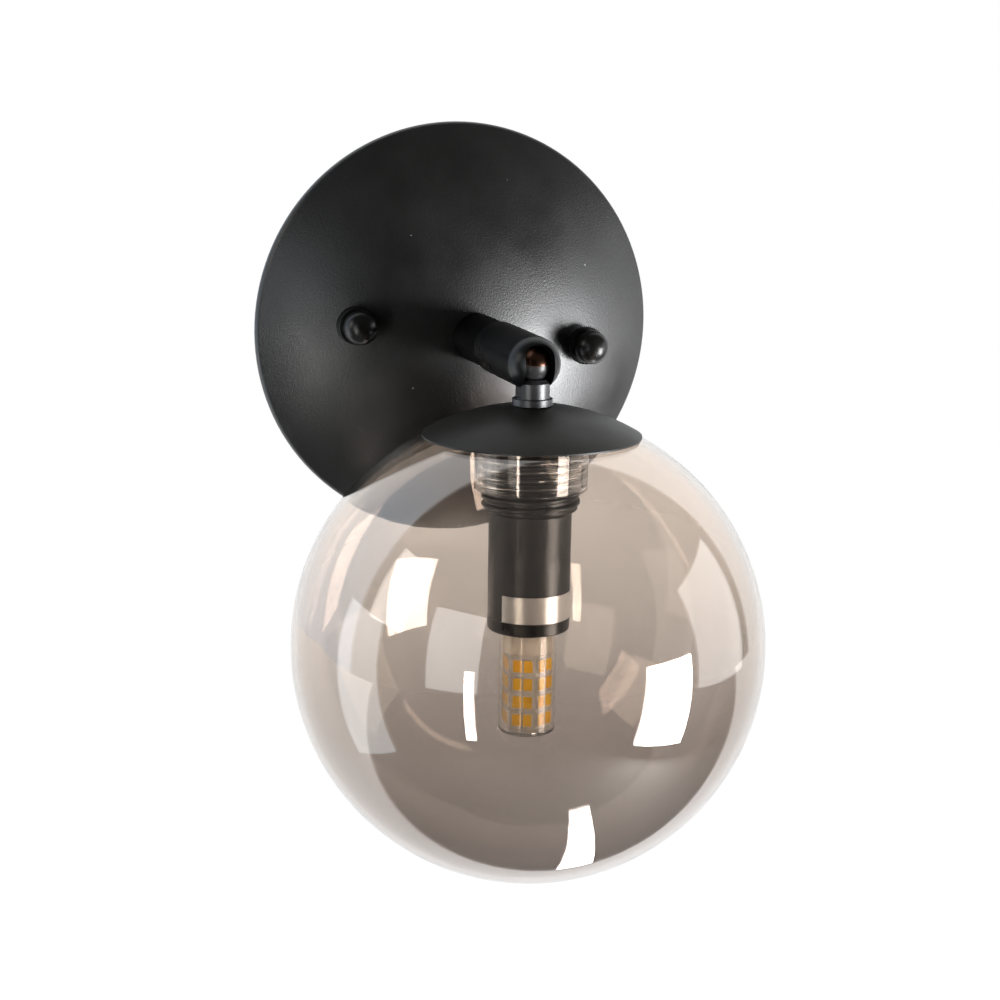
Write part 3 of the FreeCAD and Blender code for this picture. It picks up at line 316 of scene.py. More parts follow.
def makeGlass(name, look):
    material, tree, shader = startMaterial(name)
    grain = useGroup(tree, grainGroup, Size=look["waveSize"], Patch_Size=look["cloudSize"])
    place = addNode(tree, "ShaderNodeTexCoord").outputs["Object"]
    height = addNode(tree, "ShaderNodeSeparateXYZ", {0: place}).outputs[2]
    upShare = mapRange(tree, height, *look["span"], 0.0, 1.0, "SMOOTHSTEP")
    tint = mixColours(tree, upShare, look["low"], look["high"])
    if "neckTint" in look:
        axis = Vector((globeCentre.x, globeCentre.y, 0))
        flat = addNode(tree, "ShaderNodeVectorMath", {0: place, 1: (1, 1, 0)},
                       operation="MULTIPLY").outputs[0]
        away = addNode(tree, "ShaderNodeVectorMath", {0: flat, 1: axis},
                       operation="DISTANCE").outputs["Value"]
        upper = mathNode(tree, "GREATER_THAN", height, globeCentre.z)
        neckShare = mathNode(tree, "MULTIPLY", upper, mapRange(tree, away, *look["neckRadii"], 1.0, 0.0))
        tint = mixColours(tree, neckShare, tint, look["neckTint"])
    cloud = mapRange(tree, grain["Tone"], 0.3, 0.7, 1 - look["cloud"], 1 + look["cloud"])
    shade = addNode(tree, "ShaderNodeVectorMath", {0: tint, 3: cloud}, operation="SCALE").outputs[0]
    tree.links.new(shade, shader.inputs["Base Color"])
    bump = addNode(tree, "ShaderNodeBump", {"Height": grain["Height"], "Strength": 1.0,
                                            "Distance": look["waveDepth"]})
    tree.links.new(bump.outputs[0], shader.inputs["Normal"])
    shader.inputs["Metallic"].default_value = look["metallic"]
    shader.inputs["Roughness"].default_value = look["roughness"]
    shader.inputs["IOR"].default_value = look["ior"]
    shader.inputs["Transmission Weight"].default_value = 1.0
    return material


phosphor = makePhosphor(phosphorLook)
ballFinish = makeBallFinish(ballLook)
smokeGlass = makeGlass("smokeGlass", smokeLook)
clearPlastic = makeGlass("clearPlastic", clearLook)

slotFinishes = {
    "black_powder_coat": plateCoat, "black_satin_paint": satinPaint, "black_gloss_paint": glossPaint,
    "dark_bronze": ballFinish, "zinc_steel": zincSteel, "brass": brass, "block_plastic": blockPlastic,
    "lead_sheath": leadSheath, "earth_sheath": earthSheath, "black_nylon": blackNylon, "silicone": silicone,
    "holder_black": holderPlastic, "ceramic": ceramic, "label_foil": labelFoil, "smoke_glass": smokeGlass,
    "lamp_white": lampWhite, "pin_wire": pinWire, "led_board": ledBoard, "led_phosphor": phosphor,
    "clear_plastic": clearPlastic,
}
for node in cadNodes.values():
    for materialSlot in node.material_slots:
        materialSlot.material = slotFinishes[materialSlot.material.name.split(".")[0]]
# own finishes for some nodes: the darker copies for the arm and the ring screws are painted shade, and the
# lighter copy for the stem is painted sheen
for nodeName, material in (("globe_cap", capCoat), ("ring_screws", screwSteelPaintedShade), ("arm_tube", armCoatPaintedShade),
                           ("ball_stem", stemCoatPaintedSheen)):
    for materialSlot in cadNodes[nodeName].material_slots:
        materialSlot.material = material
print("finishes made")


# geometry trees

def makeTurnedTree():
    # turns a row of points (r, 0, z) about Z and cuts a thread where their threadShare isn't 0
    tree, given, result = newTree("turnedPiece", "GeometryNodeTree",
                                  [("Geometry", "Geometry", None), ("Sides", "Int", 96),
                                   ("Thread Start", "Float", 0.0),
                                   ("Pitch", "Float", 0.0024), ("Ridge Base", "Float", 0.0013),
                                   ("Ridge Crest", "Float", 0.0007), ("Centre", "Vector", None),
                                   ("Material", "Material", None)],
                                  [("Geometry", "Geometry", None)])
    rows = addNode(tree, "GeometryNodeAttributeDomainSize", {0: given["Geometry"]},
                   component="MESH").outputs[0]
    columns = mathNode(tree, "ADD", given["Sides"], 1)
    grid = addNode(tree, "GeometryNodeMeshGrid",
                   {"Size X": 1.0, "Size Y": 1.0, "Vertices X": rows, "Vertices Y": columns})
    across = addNode(tree, "ShaderNodeSeparateXYZ",
                     {0: addNode(tree, "GeometryNodeInputPosition").outputs[0]})
    along = mathNode(tree, "ROUND", mathNode(tree, "MULTIPLY", mathNode(tree, "ADD", across.outputs[0], 0.5),
                                             mathNode(tree, "SUBTRACT", rows, 1)))
    turn = mathNode(tree, "ADD", across.outputs[1], 0.5)
    angle = mathNode(tree, "MULTIPLY", turn, 2 * math.pi)
    place = addNode(tree, "GeometryNodeInputPosition").outputs[0]
    share = addNode(tree, "GeometryNodeInputNamedAttribute", {"Name": "threadShare"},
                    data_type="FLOAT").outputs[0]
    point = addNode(tree, "GeometryNodeSampleIndex",
                    {"Geometry": given["Geometry"], "Value": place, "Index": along},
                    data_type="FLOAT_VECTOR")
    depth = addNode(tree, "GeometryNodeSampleIndex",
                    {"Geometry": given["Geometry"], "Value": share, "Index": along},
                    data_type="FLOAT")
    profile = addNode(tree, "ShaderNodeSeparateXYZ", {0: point.outputs[0]})
    radius, height = profile.outputs[0], profile.outputs[2]
    turns = mathNode(tree, "DIVIDE", mathNode(tree, "SUBTRACT", height, given["Thread Start"]),
                     given["Pitch"])
    phase = mathNode(tree, "FRACT", mathNode(tree, "SUBTRACT", turns, turn))
    away = mathNode(tree, "MULTIPLY", mathNode(tree, "ABSOLUTE", mathNode(tree, "SUBTRACT", phase, 0.5)),
                    given["Pitch"])
    halfBase = mathNode(tree, "MULTIPLY", given["Ridge Base"], 0.5)
    halfCrest = mathNode(tree, "MULTIPLY", given["Ridge Crest"], 0.5)
    ridge = mapRange(tree, away, halfBase, halfCrest, 0.0, 1.0, "SMOOTHSTEP")
    threaded = mathNode(tree, "ADD", radius, mathNode(tree, "MULTIPLY", ridge, depth.outputs[0]))
    moved = addNode(tree, "ShaderNodeCombineXYZ",
                    {0: mathNode(tree, "MULTIPLY", threaded, mathNode(tree, "COSINE", angle)),
                                                   1: mathNode(tree, "MULTIPLY", threaded,
                                                               mathNode(tree, "SINE", angle)),
                                                   2: height})
    centred = addNode(tree, "ShaderNodeVectorMath", {0: moved.outputs[0], 1: given["Centre"]},
                      operation="ADD")
    placed = addNode(tree, "GeometryNodeSetPosition",
                     {"Geometry": grid.outputs[0], "Position": centred.outputs[0]})
    welded = addNode(tree, "GeometryNodeMergeByDistance",
                     {"Geometry": placed.outputs[0], "Distance": 0.000004})
    smooth = addNode(tree, "GeometryNodeSetShadeSmooth", {"Geometry": welded.outputs[0]})
    whole = addNode(tree, "GeometryNodeRealizeInstances", {0: smooth.outputs[0]})
    coated = addNode(tree, "GeometryNodeSetMaterial",
                     {"Geometry": whole.outputs[0], "Material": given["Material"]})
    tree.links.new(coated.outputs[0], result["Geometry"])
    return tree


def makeRibTree():
    # repeats one rib round a point, each turned to face outwards
    tree, given, result = newTree("ribRing", "GeometryNodeTree",
                                  [("Geometry", "Geometry", None), ("Count", "Int", 36),
                                   ("Radius", "Float", 0.006),
                                   ("Height", "Float", 0.0), ("Material", "Material", None)],
                                  [("Geometry", "Geometry", None)])
    ring = addNode(tree, "GeometryNodeMeshCircle", {"Vertices": given["Count"], "Radius": given["Radius"]})
    offset = addNode(tree, "ShaderNodeCombineXYZ", {2: given["Height"]})
    raised = addNode(tree, "GeometryNodeSetPosition",
                     {"Geometry": ring.outputs[0], "Offset": offset.outputs[0]})
    number = addNode(tree, "GeometryNodeInputIndex").outputs[0]
    step = mathNode(tree, "DIVIDE", 2 * math.pi, given["Count"])
    spin = addNode(tree, "ShaderNodeCombineXYZ", {2: mathNode(tree, "MULTIPLY", number, step)})
    ribs = addNode(tree, "GeometryNodeInstanceOnPoints",
                   {"Points": raised.outputs[0], "Instance": given["Geometry"],
                                                         "Rotation": spin.outputs[0]})
    whole = addNode(tree, "GeometryNodeRealizeInstances", {0: ribs.outputs[0]})
    coated = addNode(tree, "GeometryNodeSetMaterial",
                     {"Geometry": whole.outputs[0], "Material": given["Material"]})
    tree.links.new(coated.outputs[0], result["Geometry"])
    return tree


def makeChipTree():
    # two columns of chips on each side of the six-sided board, and a ring of them on its end
    tree, given, result = newTree("chipRows", "GeometryNodeTree",
                                  [("Geometry", "Geometry", None), ("Rows", "Int", 4),
                                   ("Row Pitch", "Float", 0.0055),
                                   ("First Row", "Float", 0.0), ("Apothem", "Float", 0.006),
                                   ("Column Offset", "Float", 0.0015), ("Board Turn", "Float", 0.5236),
                                   ("End Chips", "Int", 3), ("End Radius", "Float", 0.0032),
                                   ("End Height", "Float", 0.0),
                                   ("Centre", "Vector", None), ("Seed", "Int", 4),
                                   ("Material", "Material", None)],
                                  [("Geometry", "Geometry", None)])
    number = addNode(tree, "GeometryNodeInputIndex").outputs[0]
    perSide = mathNode(tree, "MULTIPLY", given["Rows"], 2)
    side = mathNode(tree, "FLOOR", mathNode(tree, "DIVIDE", number, perSide))
    left = mathNode(tree, "MODULO", mathNode(tree, "FLOOR", mathNode(tree, "DIVIDE", number, given["Rows"])),
                    2)
    row = mathNode(tree, "MODULO", number, given["Rows"])
    angle = mathNode(tree, "ADD", given["Board Turn"], mathNode(tree, "MULTIPLY", side, math.pi / 3))
    sideways = mathNode(tree, "MULTIPLY", mathNode(tree, "MULTIPLY_ADD", left, 2.0, -1.0),
                        given["Column Offset"])
    low = mathNode(tree, "SUBTRACT", given["First Row"], mathNode(tree, "MULTIPLY", row, given["Row Pitch"]))
    flat = addNode(tree, "ShaderNodeCombineXYZ",
                   {0: sideways, 1: mathNode(tree, "MULTIPLY", given["Apothem"], -1.0), 2: low})
    turned = addNode(tree, "ShaderNodeVectorRotate", {"Vector": flat.outputs[0], "Angle": angle},
                     rotation_type="Z_AXIS")
    sidePoints = addNode(tree, "GeometryNodePoints", {"Count": mathNode(tree, "MULTIPLY", perSide, 6),
                                                      "Position": turned.outputs[0]})
    sideSpin = addNode(tree, "ShaderNodeCombineXYZ", {2: angle})
    sideChips = addNode(tree, "GeometryNodeInstanceOnPoints", {"Points": sidePoints.outputs[0],
                                                              "Instance": given["Geometry"],
                                                              "Rotation": sideSpin.outputs[0]})
    endStep = mathNode(tree, "DIVIDE", 2 * math.pi, given["End Chips"])
    endAngle = mathNode(tree, "MULTIPLY", number, endStep)
    endFlat = addNode(tree, "ShaderNodeCombineXYZ", {1: mathNode(tree, "MULTIPLY", given["End Radius"], -1.0),
                                                     2: given["End Height"]})
    endPlace = addNode(tree, "ShaderNodeVectorRotate", {"Vector": endFlat.outputs[0], "Angle": endAngle},
                       rotation_type="Z_AXIS")
    endPoints = addNode(tree, "GeometryNodePoints",
                        {"Count": given["End Chips"], "Position": endPlace.outputs[0]})
    endSpin = addNode(tree, "ShaderNodeCombineXYZ", {0: math.pi / 2, 2: endAngle})
    endChips = addNode(tree, "GeometryNodeInstanceOnPoints", {"Points": endPoints.outputs[0],
                                                             "Instance": given["Geometry"],
                                                             "Rotation": endSpin.outputs[0]})
    chips = tree.nodes.new("GeometryNodeJoinGeometry")
    tree.links.new(sideChips.outputs[0], chips.inputs[0])
    tree.links.new(endChips.outputs[0], chips.inputs[0])
    tone = addNode(tree, "FunctionNodeRandomValue", {"Seed": given["Seed"]}, data_type="FLOAT").outputs[1]
    toned = addNode(tree, "GeometryNodeStoreNamedAttribute",
                    {"Geometry": chips.outputs[0], "Name": "chipTone",
                                                              "Value": tone}, data_type="FLOAT",
                                                              domain="INSTANCE")
    placed = addNode(tree, "GeometryNodeTransform",
                     {"Geometry": toned.outputs[0], "Translation": given["Centre"]})
    whole = addNode(tree, "GeometryNodeRealizeInstances", {0: placed.outputs[0]})
    coated = addNode(tree, "GeometryNodeSetMaterial",
                     {"Geometry": whole.outputs[0], "Material": given["Material"]})
    tree.links.new(coated.outputs[0], result["Geometry"])
    return tree


turnedTree = makeTurnedTree()
ribTree = makeRibTree()
chipTree = makeChipTree()


def runTree(mesh, tree, values, sharpAngle=None):
    # plain mesh of what the tree makes from this mesh
    helper = bpy.data.objects.new("helper", mesh)
    bpy.context.scene.collection.objects.link(helper)
    modifier = helper.modifiers.new("tree", "NODES")
    modifier.node_group = tree
    for item in tree.interface.items_tree:
        if item.item_type == "SOCKET" and item.in_out == "INPUT" and item.name in values:
            modifier[item.identifier] = values[item.name]
    bpy.context.view_layer.update()
    evaluated = helper.evaluated_get(bpy.context.evaluated_depsgraph_get())
    made = bpy.data.meshes.new_from_object(evaluated)
    bpy.data.objects.remove(helper)
    if sharpAngle:
        made.set_sharp_from_angle(angle=math.radians(sharpAngle))
    return made


def meshVolume(mesh):
    total = 0.0
    mesh.calc_loop_triangles()
    for triangle in mesh.loop_triangles:
        a, b, c = (mesh.vertices[i].co for i in triangle.vertices)
        total += a.dot(b.cross(c))
    return total / 6


def rowMesh(points):
    # points are (r, z, thread depth) in millimetres
    mesh = bpy.data.meshes.new("row")
    mesh.from_pydata([(r * mm, 0, z * mm) for r, z, depth in points],
                     [(i, i + 1) for i in range(len(points) - 1)], [])
    share = mesh.attributes.new("threadShare", "FLOAT", "POINT")
    share.data.foreach_set("value", [depth * mm for r, z, depth in points])
    return mesh


def arcRow(across, up, radius, fromDegrees, toDegrees, count):
    steps = [math.radians(fromDegrees + (toDegrees - fromDegrees) * i / count) for i in range(count + 1)]
    return [(across + radius * math.cos(a), up + radius * math.sin(a), 0.0) for a in steps]


def straightRow(start, end, step, depth=0.0, fade=1.2):
    length = math.dist(start, end)
    count = max(1, round(length / step))
    row = []
    for i in range(count + 1):
        share = i / count
        room = min(share, 1 - share) * length
        row.append((start[0] + (end[0] - start[0]) * share, start[1] + (end[1] - start[1]) * share,
                    depth * min(1.0, room / fade)))
    return row


def newPiece(name, mesh, body, slotName, *replaced):
    if meshVolume(mesh) < 0:
        mesh.flip_normals()
    piece = bpy.data.objects.new(name, mesh)
    bpy.context.scene.collection.objects.link(piece)
    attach(piece, body)
    if replaced:
        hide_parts(*replaced)
    return piece


# glass globe

globe = {
    "radius": 70.0, "wall": 1.8, "sides": 160,
    "mouthRadius": 14.9, "mouthLipRound": 2.2, "mouthFoldRound": 2.0, "mouthWall": 1.7, "mouthLength": 18.6,
    "ridgeDepth": 0.42, "ridgeBase": 1.5, "ridgeCrest": 0.4, "pitch": 2.4, "threadStart": 48.606,
}


def makeGlobe(size):
    innerSphere = size["radius"] - size["wall"]
    lipAcross = size["mouthRadius"] + size["mouthLipRound"]
    lipUp = math.sqrt((size["radius"] - size["mouthLipRound"]) ** 2 - lipAcross ** 2)
    outside = size["mouthRadius"] + size["mouthWall"]
    foldAcross = outside + size["mouthFoldRound"]
    foldUp = math.sqrt((innerSphere - size["mouthFoldRound"]) ** 2 - foldAcross ** 2)
    lipAngle = math.degrees(math.atan2(lipUp, lipAcross))
    foldAngle = math.degrees(math.atan2(foldUp, foldAcross))
    endRound = size["mouthWall"] / 2
    endUp = lipUp - size["mouthLength"] + endRound
    row = arcRow(0, 0, size["radius"], -90, lipAngle, 70)
    row += arcRow(lipAcross, lipUp, size["mouthLipRound"], lipAngle, 180, 14)[1:]
    row += straightRow((size["mouthRadius"], lipUp), (size["mouthRadius"], endUp), 0.16, -size["ridgeDepth"],
                       1.0)[1:]
    row += arcRow(size["mouthRadius"] + endRound, endUp, endRound, 180, 360, 8)[1:]
    row += straightRow((outside, endUp), (outside, foldUp), 2.0)[1:]
    row += arcRow(foldAcross, foldUp, size["mouthFoldRound"], 180, foldAngle, 10)[1:]
    row += arcRow(0, 0, innerSphere, foldAngle, -90, 70)[1:]
    mesh = runTree(rowMesh(row), turnedTree, {
        "Sides": size["sides"], "Thread Start": size["threadStart"] * mm, "Pitch": size["pitch"] * mm,
        "Ridge Base": size["ridgeBase"] * mm, "Ridge Crest": size["ridgeCrest"] * mm,
        "Centre": globeCentre, "Material": smokeGlass})
    return newPiece("globeGlass", mesh, "globe", "smoke_glass", "glass_globe")


glassPiece = makeGlobe(globe)
print("globe made:", len(glassPiece.data.polygons), "faces")


# lampholder

sleeve = {
    "radius": 12.1, "bore": 10.6, "spigotRadius": 11.35, "rootRadius": 13.4, "threadDepth": 1.0,
    "bottom": 6.8064, "ringTop": 9.0064, "shoulder": 41.2064, "shoulderHeight": 0.8,
    "lowestRidge": 42.6064, "top": 66.2564, "topEdge": 0.6, "topPlate": 3.5, "hole": 5.03,
    "pitch": 2.4, "ridgeBase": 1.7, "ridgeCrest": 0.7, "sides": 144,
}


def makeSleeve(size):
    plateBottom = size["top"] - size["topPlate"]
    row = [(size["bore"], size["bottom"], 0), (size["spigotRadius"], size["bottom"], 0),
           (size["spigotRadius"], size["ringTop"], 0), (size["radius"] - 0.2, size["ringTop"], 0),
           (size["radius"], size["ringTop"] + 0.2, 0),
           (size["radius"], size["shoulder"] - size["shoulderHeight"], 0),
           (size["rootRadius"] - 0.1, size["shoulder"] - 0.05, 0)]
    row += straightRow((size["rootRadius"], size["shoulder"]),
                       (size["rootRadius"], size["top"] - size["topEdge"]),
                       0.16, size["threadDepth"], 1.4)
    row += [(size["rootRadius"] - size["topEdge"], size["top"], 0), (size["hole"], size["top"], 0),
            (size["hole"], plateBottom, 0), (size["bore"], plateBottom, 0), (size["bore"], size["bottom"], 0)]
    mesh = runTree(rowMesh(row), turnedTree, {
        "Sides": size["sides"], "Thread Start": size["lowestRidge"] * mm, "Pitch": size["pitch"] * mm,
        "Ridge Base": size["ridgeBase"] * mm, "Ridge Crest": size["ridgeCrest"] * mm,
        "Centre": globeCentre, "Material": holderPlastic}, sharpAngle=40)
    return newPiece("holderSleeve", mesh, "head", "holder_black", "lampholder_sleeve")


sleevePiece = makeSleeve(sleeve)
print("sleeve made:", len(sleevePiece.data.polygons), "faces")


# ball nuts

ballNut = {
    "ballRadius": 5.3, "collarRadius": 6.1, "collarHeight": 3.0, "edge": 0.5, "back": 19.332,
    "ballUp": 25.932,
    "bore": 2.06, "boreDepth": 8.0, "spacing": 75.7, "turn": 6.3,
    "ribs": 52, "ribWidth": 0.46, "ribDepth": 0.38, "ribSlant": 20.0,
}


def makeRib(size):
    # one slanted ridge with a rounded back, standing on the collar's wall, its length along Z
    half = size["collarHeight"] / 2 - size["edge"] * 0.55
    lean = half * math.tan(math.radians(size["ribSlant"]))
    width, depth = size["ribWidth"] / 2, size["ribDepth"]
    section = [(-depth, -width), (-depth * 0.35, -width * 0.75), (0.0, -width * 0.2), (0.0, width * 0.2),
               (-depth * 0.35, width * 0.75), (-depth, width)]
    ends = [(-half, -lean, 0.35), (-half * 0.8, -lean * 0.8, 1.0), (half * 0.8, lean * 0.8, 1.0),
            (half, lean, 0.35)]
    points = [(-(1 - tall) * depth + x * tall, y + shift, up) for up, shift, tall in ends for x, y in section]
    count = len(section)
    faces = [(k * count + i, k * count + (i + 1) % count, (k + 1) * count + (i + 1) % count,
              (k + 1) * count + i)
             for k in range(len(ends) - 1) for i in range(count)]
    faces += [tuple(reversed(range(count))), tuple(range((len(ends) - 1) * count, len(ends) * count))]
    mesh = bpy.data.meshes.new("rib")
    mesh.from_pydata([tuple(v * mm for v in point) for point in points], [], faces)
    return mesh


def joinMeshes(name, *meshes):
    points, faces = [], []
    for mesh in meshes:
        base = len(points)
        points += [tuple(v.co) for v in mesh.vertices]
        faces += [tuple(base + i for i in face.vertices) for face in mesh.polygons]
    joined = bpy.data.meshes.new(name)
    joined.from_pydata(points, [], faces)
    joined.shade_smooth()
    return joined


def makeBallNut(side, size):
    wall = size["collarRadius"] - size["ribDepth"]
    front = size["back"] + size["collarHeight"]
    rim = size["edge"]
    meet = math.degrees(math.asin(-(size["ballUp"] - front) / size["ballRadius"]))
    row = [(0, size["back"] + size["boreDepth"], 0), (size["bore"], size["back"] + size["boreDepth"], 0),
           (size["bore"], size["back"], 0), (wall - rim * 0.6, size["back"], 0),
           (wall, size["back"] + rim * 0.6, 0),
           (wall, front - rim * 0.7, 0), (wall - rim * 0.3, front - rim * 0.15, 0),
           (wall - rim * 0.9, front, 0)]
    row += arcRow(0, size["ballUp"], size["ballRadius"], meet, 90, 40)
    turned = runTree(rowMesh(row), turnedTree, {"Sides": 96, "Centre": Vector((0, 0, 0)),
                                                "Material": glossPaint})
    if meshVolume(turned) < 0:
        turned.flip_normals()
    ribs = runTree(makeRib(size), ribTree, {"Count": size["ribs"], "Radius": size["collarRadius"] * mm,
                                            "Height": (size["back"] + front) / 2 * mm,
                                            "Material": glossPaint})
    if meshVolume(ribs) < 0:
        ribs.flip_normals()
    mesh = joinMeshes("ballNut", turned, ribs)
    mesh.materials.append(glossPaint)
    mesh.set_sharp_from_angle(angle=math.radians(42))
    outwards = Matrix.Rotation(math.radians(90), 4, "X")      # the row's Z points away from the wall
    sideways = Matrix.Translation((side * size["spacing"] / 2 * mm, 0, 0))
    level = Matrix.Rotation(math.radians(size["turn"]), 4, "Y")
    mesh.transform(level @ sideways @ outwards)
    name = "left" if side < 0 else "right"
    return newPiece(name + "BallNut", mesh, name + "_nut", "black_gloss_paint", "ball_nut_" + name)


for side in (-1, 1):
    makeBallNut(side, ballNut)
print("ball nuts made")


# lamp chips

chips = {
    "width": 2.95, "height": 4.0, "depth": 0.7, "gap": 0.1, "rows": 4, "rowPitch": 5.5, "firstRow": -4.8936,
    "apothem": 6.1515, "boardTurn": 30.0, "boardBottom": -24.2936, "endChips": 3, "endRadius": 3.2,
    "frame": 0.14, "recess": 0.12, "seed": 7,
}


def chipBlock(width, height, back, front, corner, hollow=None):
    # a rounded slab facing -Y, with a shallow window when hollow is (frame, recess)
    def loop(y, inset):
        w, h, c = width / 2 - inset, height / 2 - inset, max(corner - inset * 0.5, 0.05)
        around = []
        for cx, cz, start in ((w - c, h - c, 0), (-w + c, h - c, 90), (-w + c, -h + c, 180),
                              (w - c, -h + c, 270)):
            for step in (0, 45, 90):
                a = math.radians(start + step)
                around.append((cx + c * math.cos(a), y, cz + c * math.sin(a)))
        return around
    loops = [loop(back, 0.0), loop(front + 0.06, 0.0), loop(front, 0.05)]
    if hollow:
        loops += [loop(front, hollow[0]), loop(front + hollow[1], hollow[0] + 0.05)]
    count = len(loops[0])
    points = [tuple(v * mm for v in point) for ring in loops for point in ring]
    faces = [(k * count + i, k * count + (i + 1) % count, (k + 1) * count + (i + 1) % count,
              (k + 1) * count + i)
             for k in range(len(loops) - 1) for i in range(count)]
    faces += [tuple(reversed(range(count))), tuple(range((len(loops) - 1) * count, len(loops) * count))]
    mesh = bpy.data.meshes.new("chip")
    mesh.from_pydata(points, [], faces)
    return mesh


def makeChips(size):
    half = size["depth"] / 2
    values = {
        "Rows": size["rows"], "Row Pitch": size["rowPitch"] * mm, "First Row": size["firstRow"] * mm,
        "Apothem": (size["apothem"] + half) * mm, "Column Offset": (size["width"] + size["gap"]) / 2 * mm,
        "Board Turn": math.radians(size["boardTurn"]), "End Chips": size["endChips"],
        "End Radius": size["endRadius"] * mm, "End Height": (size["boardBottom"] - half) * mm,
        "Centre": globeCentre, "Seed": size["seed"]}
    frameMesh = chipBlock(size["width"], size["height"], half, -half, 0.3, (size["frame"], size["recess"]))
    window = chipBlock(size["width"] - 2 * size["frame"] - 0.1, size["height"] - 2 * size["frame"] - 0.1,
                       -half + size["recess"] + 0.02, -half + 0.03, 0.3)
    frames = runTree(frameMesh, chipTree, {**values, "Material": chipFrame}, sharpAngle=35)
    windows = runTree(window, chipTree, {**values, "Material": phosphor}, sharpAngle=35)
    newPiece("chipFrames", frames, "lamp", "led_board", "led_chips")
    newPiece("chipPhosphor", windows, "lamp", "led_phosphor")


makeChips(chips)
print("lamp chips made")


# camera, floor, light

cameraSet = {"place": (-0.20671, -0.67011, 0.09744), "azimuth": -18.431, "elevation": 12.399, "roll": 0.926,
             "lens": 79.2, "sensor": 36.0}


def makeCamera(size):
    a, e, roll = (math.radians(size[key]) for key in ("azimuth", "elevation", "roll"))
    back = Vector((math.sin(a) * math.cos(e), -math.cos(a) * math.cos(e), math.sin(e)))
    level = Vector((math.cos(a), math.sin(a), 0))
    upright = back.cross(level)
    right = math.cos(roll) * level + math.sin(roll) * upright
    up = math.cos(roll) * upright - math.sin(roll) * level
    data = bpy.data.cameras.new("camera")
    data.lens, data.sensor_width = size["lens"], size["sensor"]
    data.clip_start = 0.01
    camera = bpy.data.objects.new("camera", data)
    camera.matrix_world = Matrix.Translation(size["place"]) @ Matrix((right, up, back)).transposed().to_4x4()
    bpy.context.scene.collection.objects.link(camera)
    bpy.context.scene.camera = camera


makeCamera(cameraSet)

floorSet = {"height": -0.9, "size": 8.0, "colour": 0.82, "lift": 0.93, "mirroredColour": 0.25,
            "mirroredFrom": (0.27, 0.32)}


def makeFloor(size):
    # mirrors show it white only behind the object, from mirroredFrom on
    half = size["size"] / 2
    mesh = bpy.data.meshes.new("floor")
    mesh.from_pydata([(-half, -half, size["height"]), (half, -half, size["height"]),
                      (half, half, size["height"]), (-half, half, size["height"])], [], [(0, 1, 2, 3)])
    material, tree, shader = startMaterial("paleFloor")
    path = addNode(tree, "ShaderNodeLightPath")
    place = addNode(tree, "ShaderNodeSeparateXYZ", {0: addNode(tree, "ShaderNodeTexCoord").outputs["Object"]})
    behind = mapRange(tree, place.outputs[1], *size["mirroredFrom"], 0.0, 1.0, "SMOOTHSTEP")
    reflected = mathNode(tree, "GREATER_THAN", path.outputs["Glossy Depth"], 0.5)
    sharp = mathNode(tree, "MAXIMUM", path.outputs["Is Camera Ray"],
                     mathNode(tree, "MAXIMUM", path.outputs["Is Glossy Ray"],
                              path.outputs["Is Transmission Ray"]))
    hiddenShare = mathNode(tree, "MULTIPLY", reflected, mathNode(tree, "SUBTRACT", 1.0, behind))
    seen = mathNode(tree, "MULTIPLY", sharp, mathNode(tree, "SUBTRACT", 1.0, hiddenShare))
    pale, dim = ((value,) * 3 + (1,) for value in (size["colour"], size["mirroredColour"]))
    tree.links.new(mixColours(tree, hiddenShare, pale, dim), shader.inputs["Base Color"])
    shader.inputs["Roughness"].default_value = 0.9
    shader.inputs["Emission Color"].default_value = (1, 1, 1, 1)
    tree.links.new(mathNode(tree, "MULTIPLY", seen, size["lift"]), shader.inputs["Emission Strength"])
    mesh.materials.append(material)
    floor = bpy.data.objects.new("floor", mesh)
    bpy.context.scene.collection.objects.link(floor)


makeFloor(floorSet)

worldSet = {"room": (0.085, 0.082, 0.08, 1), "sweep": (0.97, 0.985, 1.0, 1),
            "sweepLeft": (0.78, 0.90, 1.06, 1), "leftFrom": (-0.75, -0.05), "dark": (0.008, 0.008, 0.008, 1),
            "sweepEdge": (0.335, 0.355),
            "darkMiddle": (-0.30, -0.95, 0.12), "darkEdge": (0.80, 0.985), "fill": 0.08, "throughGlass": 5.2}


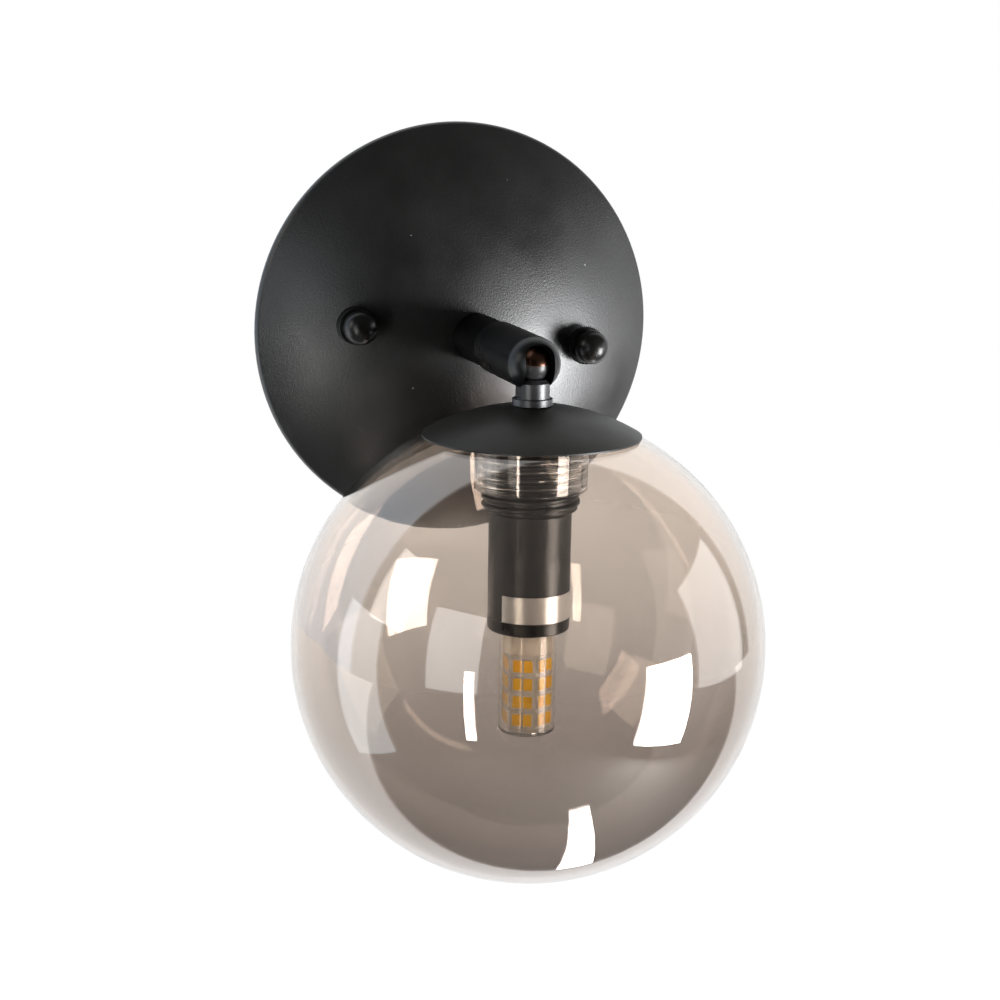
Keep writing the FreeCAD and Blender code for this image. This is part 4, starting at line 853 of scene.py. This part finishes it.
def makeWorld(size):
    # white behind the object, a dim room in front of it, darkest in the middle;
    # throughGlass is how strongly what stands inside the glass is lit from outside
    world = bpy.data.worlds.new("studio")
    world.use_nodes = True
    bpy.context.scene.world = world
    tree = world.node_tree
    tree.nodes.clear()
    path = addNode(tree, "ShaderNodeLightPath")
    heading = addNode(tree, "ShaderNodeTexCoord").outputs["Generated"]
    direction = addNode(tree, "ShaderNodeSeparateXYZ", {0: heading})
    middle = Vector(size["darkMiddle"]).normalized()
    facing = addNode(tree, "ShaderNodeVectorMath", {0: heading, 1: middle},
                     operation="DOT_PRODUCT").outputs["Value"]
    room = mixColours(tree, mapRange(tree, facing, *size["darkEdge"], 0.0, 1.0, "SMOOTHSTEP"), size["room"],
                      size["dark"])
    sweep = mapRange(tree, direction.outputs[1], *size["sweepEdge"], 0.0, 1.0, "SMOOTHSTEP")
    leftShare = mapRange(tree, direction.outputs[0], *size["leftFrom"], 1.0, 0.0, "SMOOTHSTEP")
    mirrored = mixColours(tree, sweep, room, mixColours(tree, leftShare, size["sweep"], size["sweepLeft"]))
    fill = (size["fill"],) * 3 + (1,)
    reflected = mathNode(tree, "GREATER_THAN", path.outputs["Glossy Depth"], 0.5)
    sharp = mathNode(tree, "MAXIMUM", path.outputs["Is Glossy Ray"],
                     mathNode(tree, "MULTIPLY", path.outputs["Is Transmission Ray"], reflected))
    lit = mixColours(tree, sharp, fill, mirrored)
    through = mathNode(tree, "MULTIPLY", path.outputs["Is Transmission Ray"],
                       mathNode(tree, "SUBTRACT", 1.0, reflected))
    seen = mathNode(tree, "MAXIMUM", path.outputs["Is Camera Ray"], through)
    colour = mixColours(tree, seen, lit, (1, 1, 1, 1))
    scattered = mathNode(tree, "GREATER_THAN", path.outputs["Diffuse Depth"], 0.5)
    inside = mathNode(tree, "MULTIPLY", scattered, path.outputs["Is Transmission Ray"])
    strength = mathNode(tree, "MULTIPLY_ADD", inside, size["throughGlass"] - 1, 1.0)
    background = addNode(tree, "ShaderNodeBackground", {0: colour, 1: strength})
    output = tree.nodes.new("ShaderNodeOutputWorld")
    tree.links.new(background.outputs[0], output.inputs[0])


makeWorld(worldSet)

# centre, size across and up, how bright it looks, colour
lamps = {
    "rightBox": ((0.91, -0.87, -0.42), (0.56, 0.73), 28.0, (0.98, 0.985, 1.0)),
    "lowStrip": ((0.1855, -0.106, -0.758), (0.63, 0.093), 10.0, (1.0, 0.99, 0.97)),
    "leftStrip": ((-0.87, -0.94, -0.38), (0.10, 0.70), 12.0, (1.0, 0.98, 0.95)),
    "leftPatch": ((-1.13, -0.05, 0.46), (0.46, 0.63), 1.9, (1.0, 0.975, 0.94)),
    "leftPanel": ((-1.16, 0.22, -0.37), (0.56, 1.20), 1.3, (0.82, 0.92, 1.0)),
    "leftCard": ((-0.98, -0.80, 0.12), (0.55, 0.78), 1.4, (0.90, 0.95, 1.0)),
    "rightCard": ((1.17, -0.22, 0.03), (0.75, 0.80), 1.4, (0.97, 0.98, 1.0)),
}


def makeLamp(name, centre, across, brightness, colour):
    # faces the globe; seen in reflections, but not straight through the glass
    data = bpy.data.lights.new(name, "AREA")
    data.shape = "RECTANGLE"
    data.size, data.size_y = across
    data.color = colour
    data.energy = brightness * math.pi * across[0] * across[1]
    data.use_nodes = True
    tree = data.node_tree
    path = addNode(tree, "ShaderNodeLightPath")
    bounced = mathNode(tree, "ADD", path.outputs["Diffuse Depth"], path.outputs["Glossy Depth"])
    straight = mathNode(tree, "LESS_THAN", bounced, 0.5)
    hidden = mathNode(tree, "MULTIPLY", straight, path.outputs["Is Transmission Ray"])
    tree.links.new(mathNode(tree, "SUBTRACT", 1.0, hidden), tree.nodes["Emission"].inputs["Strength"])
    lamp = bpy.data.objects.new(name, data)
    back = (Vector(centre) - globeCentre).normalized()
    right = Vector((0, 0, 1)).cross(back).normalized()
    lamp.matrix_world = Matrix.Translation(centre) @ Matrix((right, back.cross(right),
                                                             back)).transposed().to_4x4()
    lamp.visible_camera = False
    bpy.context.scene.collection.objects.link(lamp)


for name, lampSet in lamps.items():
    makeLamp(name, *lampSet)
bpy.context.scene.view_settings.view_transform = "Standard"
print("camera, floor and lamps made")
